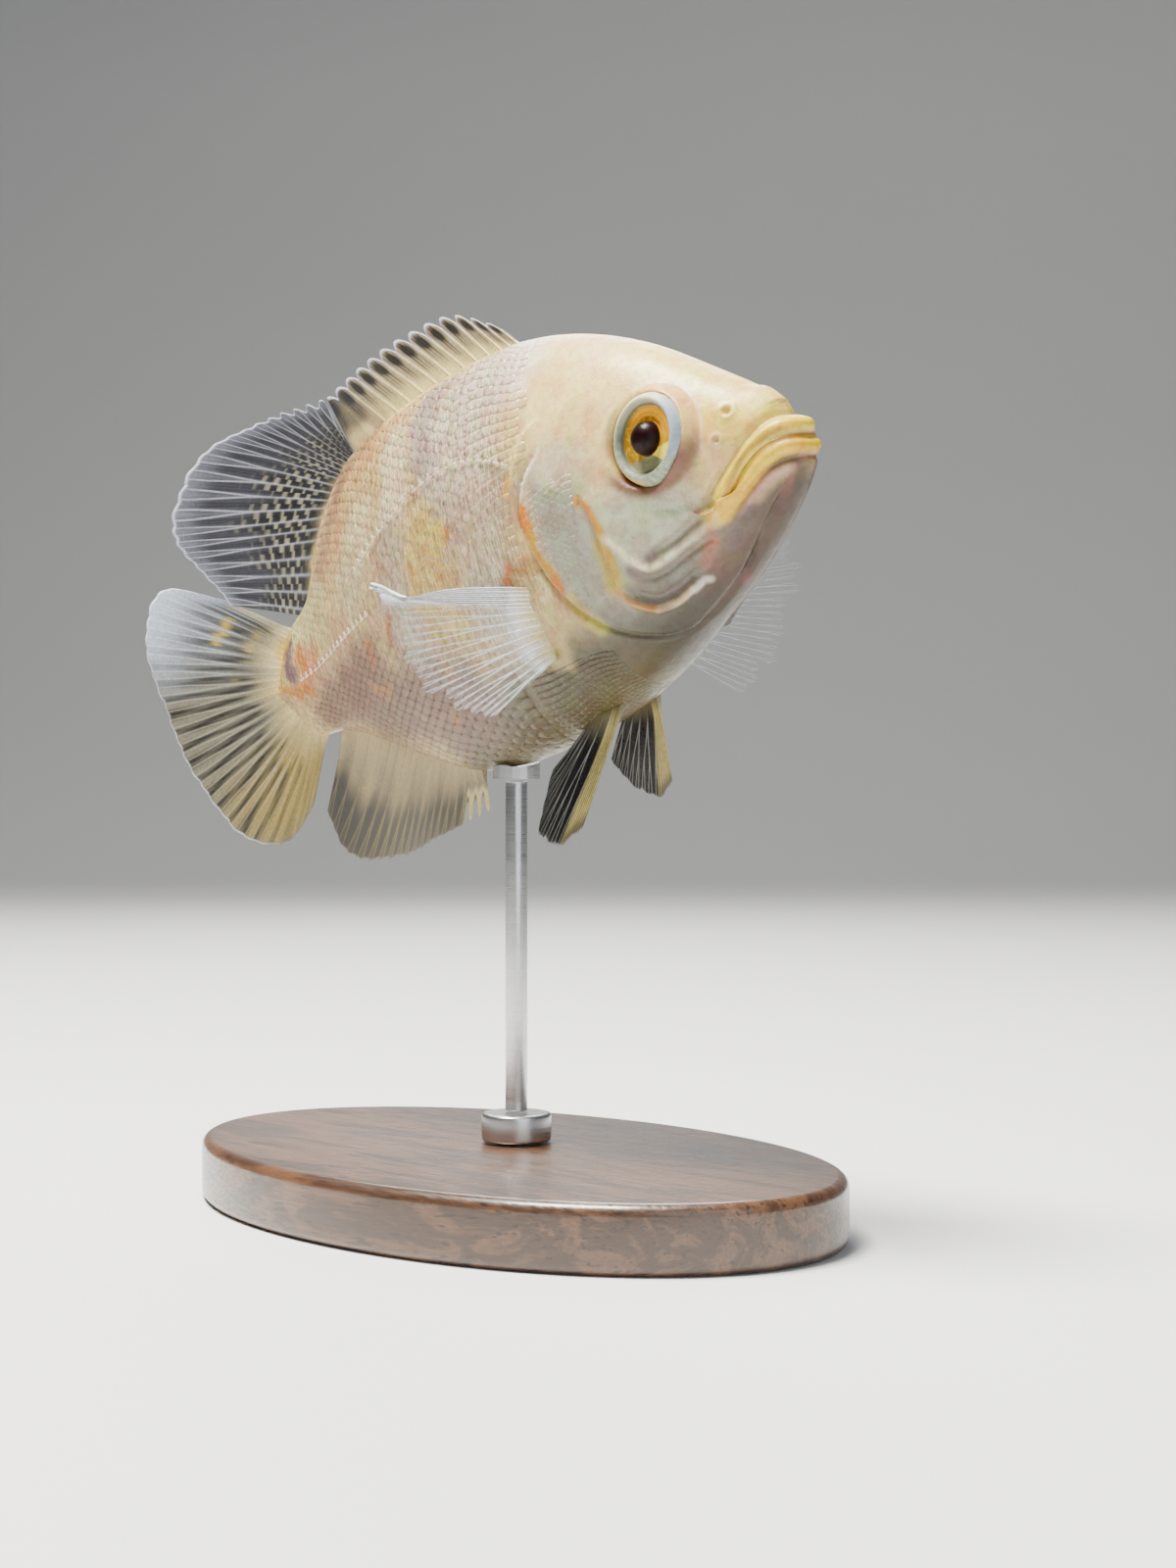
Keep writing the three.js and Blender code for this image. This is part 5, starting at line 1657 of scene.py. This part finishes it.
class OSCAR_OT_stage(bpy.types.Operator):
    """Adds the floor, the soft lights and the camera"""

    bl_idname = "oscar.stage"
    bl_label = "Set stage"

    def execute(self, context):
        settings = context.scene.oscar_stage
        scene = context.scene
        bm = bmesh.new()
        bmesh.ops.create_grid(bm, x_segments=1, y_segments=1, size=FLOOR_HALF)
        bmesh.ops.translate(bm, vec=(0, FLOOR_DEPTH - FLOOR_HALF, 0), verts=bm.verts)
        rear = [edge for edge in bm.edges if all(vert.co.y > 0 for vert in edge.verts)]
        bmesh.ops.spin(
            bm, geom=rear, cent=(0, FLOOR_DEPTH, SWEEP_RADIUS), axis=(1, 0, 0), angle=math.pi / 2, steps=24
        )
        top = [edge for edge in bm.edges if all(vert.co.z > SWEEP_RADIUS - MM for vert in edge.verts)]
        raised = bmesh.ops.extrude_edge_only(bm, edges=top)["geom"]
        rim = [item for item in raised if isinstance(item, bmesh.types.BMVert)]
        bmesh.ops.translate(bm, vec=(0, 0, WALL_HEIGHT), verts=rim)
        bmesh.ops.recalc_face_normals(bm, faces=bm.faces)
        bmesh.ops.rotate(bm, verts=bm.verts, matrix=Matrix.Rotation(CAMERA_HEADING, 3, "Z"))
        mesh = mesh_from(bm, "floor")
        shade_smooth(mesh)
        mesh.materials.append(floor_material(tuple(settings.floor_colour)))
        floor = bpy.data.objects.new("floor", mesh)
        scene.collection.objects.link(floor)
        world = bpy.data.worlds.new("studio")
        world.use_nodes = True
        background = world.node_tree.nodes["Background"]
        background.inputs["Color"].default_value = AIR_COLOUR
        background.inputs["Strength"].default_value = AIR_STRENGTH
        scene.world = world
        for name, (offset, size, share, shade) in LAMPS.items():
            lamp = bpy.data.lights.new(name, "AREA")
            lamp.shape = "DISK"
            lamp.size = size
            lamp.energy = settings.key * share
            lamp.color = shade
            holder = bpy.data.objects.new(name, lamp)
            holder.location = Vector(SNOUT) * MM + FISH_MIDDLE + Vector(offset)
            holder.rotation_euler = (-Vector(offset)).to_track_quat("-Z", "Y").to_euler()
            scene.collection.objects.link(holder)
        camera = bpy.data.cameras.new("camera")
        camera.lens = settings.lens
        camera.sensor_width = 36.0
        camera.sensor_fit = "AUTO"
        camera.clip_start = 0.01
        holder = bpy.data.objects.new("camera", camera)
        holder.location = Vector(SNOUT) * MM + CAMERA_FROM_SNOUT
        holder.rotation_euler = (math.pi / 2, 0, CAMERA_HEADING)
        scene.collection.objects.link(holder)
        scene.camera = holder
        return {"FINISHED"}


class OSCAR_PT_panel(bpy.types.Panel):
    """Lists the steps that build the model"""

    bl_idname = "OSCAR_PT_panel"
    bl_label = "Oscar display fish"
    bl_space_type = "VIEW_3D"
    bl_region_type = "UI"
    bl_category = "Oscar"

    def draw(self, context):
        layout = self.layout
        for step in STEPS:
            layout.operator(step.bl_idname)
        for group in SETTINGS:
            box = layout.box()
            settings = getattr(context.scene, group)
            for key in SETTINGS[group].__annotations__:
                box.prop(settings, key)


SETTINGS = {
    "oscar_skin": OscarSkinSettings,
    "oscar_scales": OscarScaleSettings,
    "oscar_fins": OscarFinSettings,
    "oscar_eyes": OscarEyeSettings,
    "oscar_stand": OscarStandSettings,
    "oscar_stage": OscarStageSettings,
}
STEPS = [
    OSCAR_OT_stage,
    OSCAR_OT_skin,
    OSCAR_OT_scales,
    OSCAR_OT_lateral_line,
    OSCAR_OT_eyes,
    OSCAR_OT_fins,
    OSCAR_OT_stand,
]


def register():
    for made in [*SETTINGS.values(), *STEPS, OSCAR_PT_panel]:
        bpy.utils.register_class(made)
    for name, group in SETTINGS.items():
        setattr(bpy.types.Scene, name, bpy.props.PointerProperty(type=group))


def unregister():
    for name in SETTINGS:
        delattr(bpy.types.Scene, name)
    for made in reversed([*SETTINGS.values(), *STEPS, OSCAR_PT_panel]):
        bpy.utils.unregister_class(made)


def main():
    register()
    bpy.ops.oscar.stage()
    bpy.ops.oscar.skin()
    bpy.ops.oscar.scales()
    bpy.ops.oscar.lateral_line()
    bpy.ops.oscar.eyes()
    bpy.ops.oscar.fins()
    bpy.ops.oscar.stand()


if __name__ == "__main__":
    main()
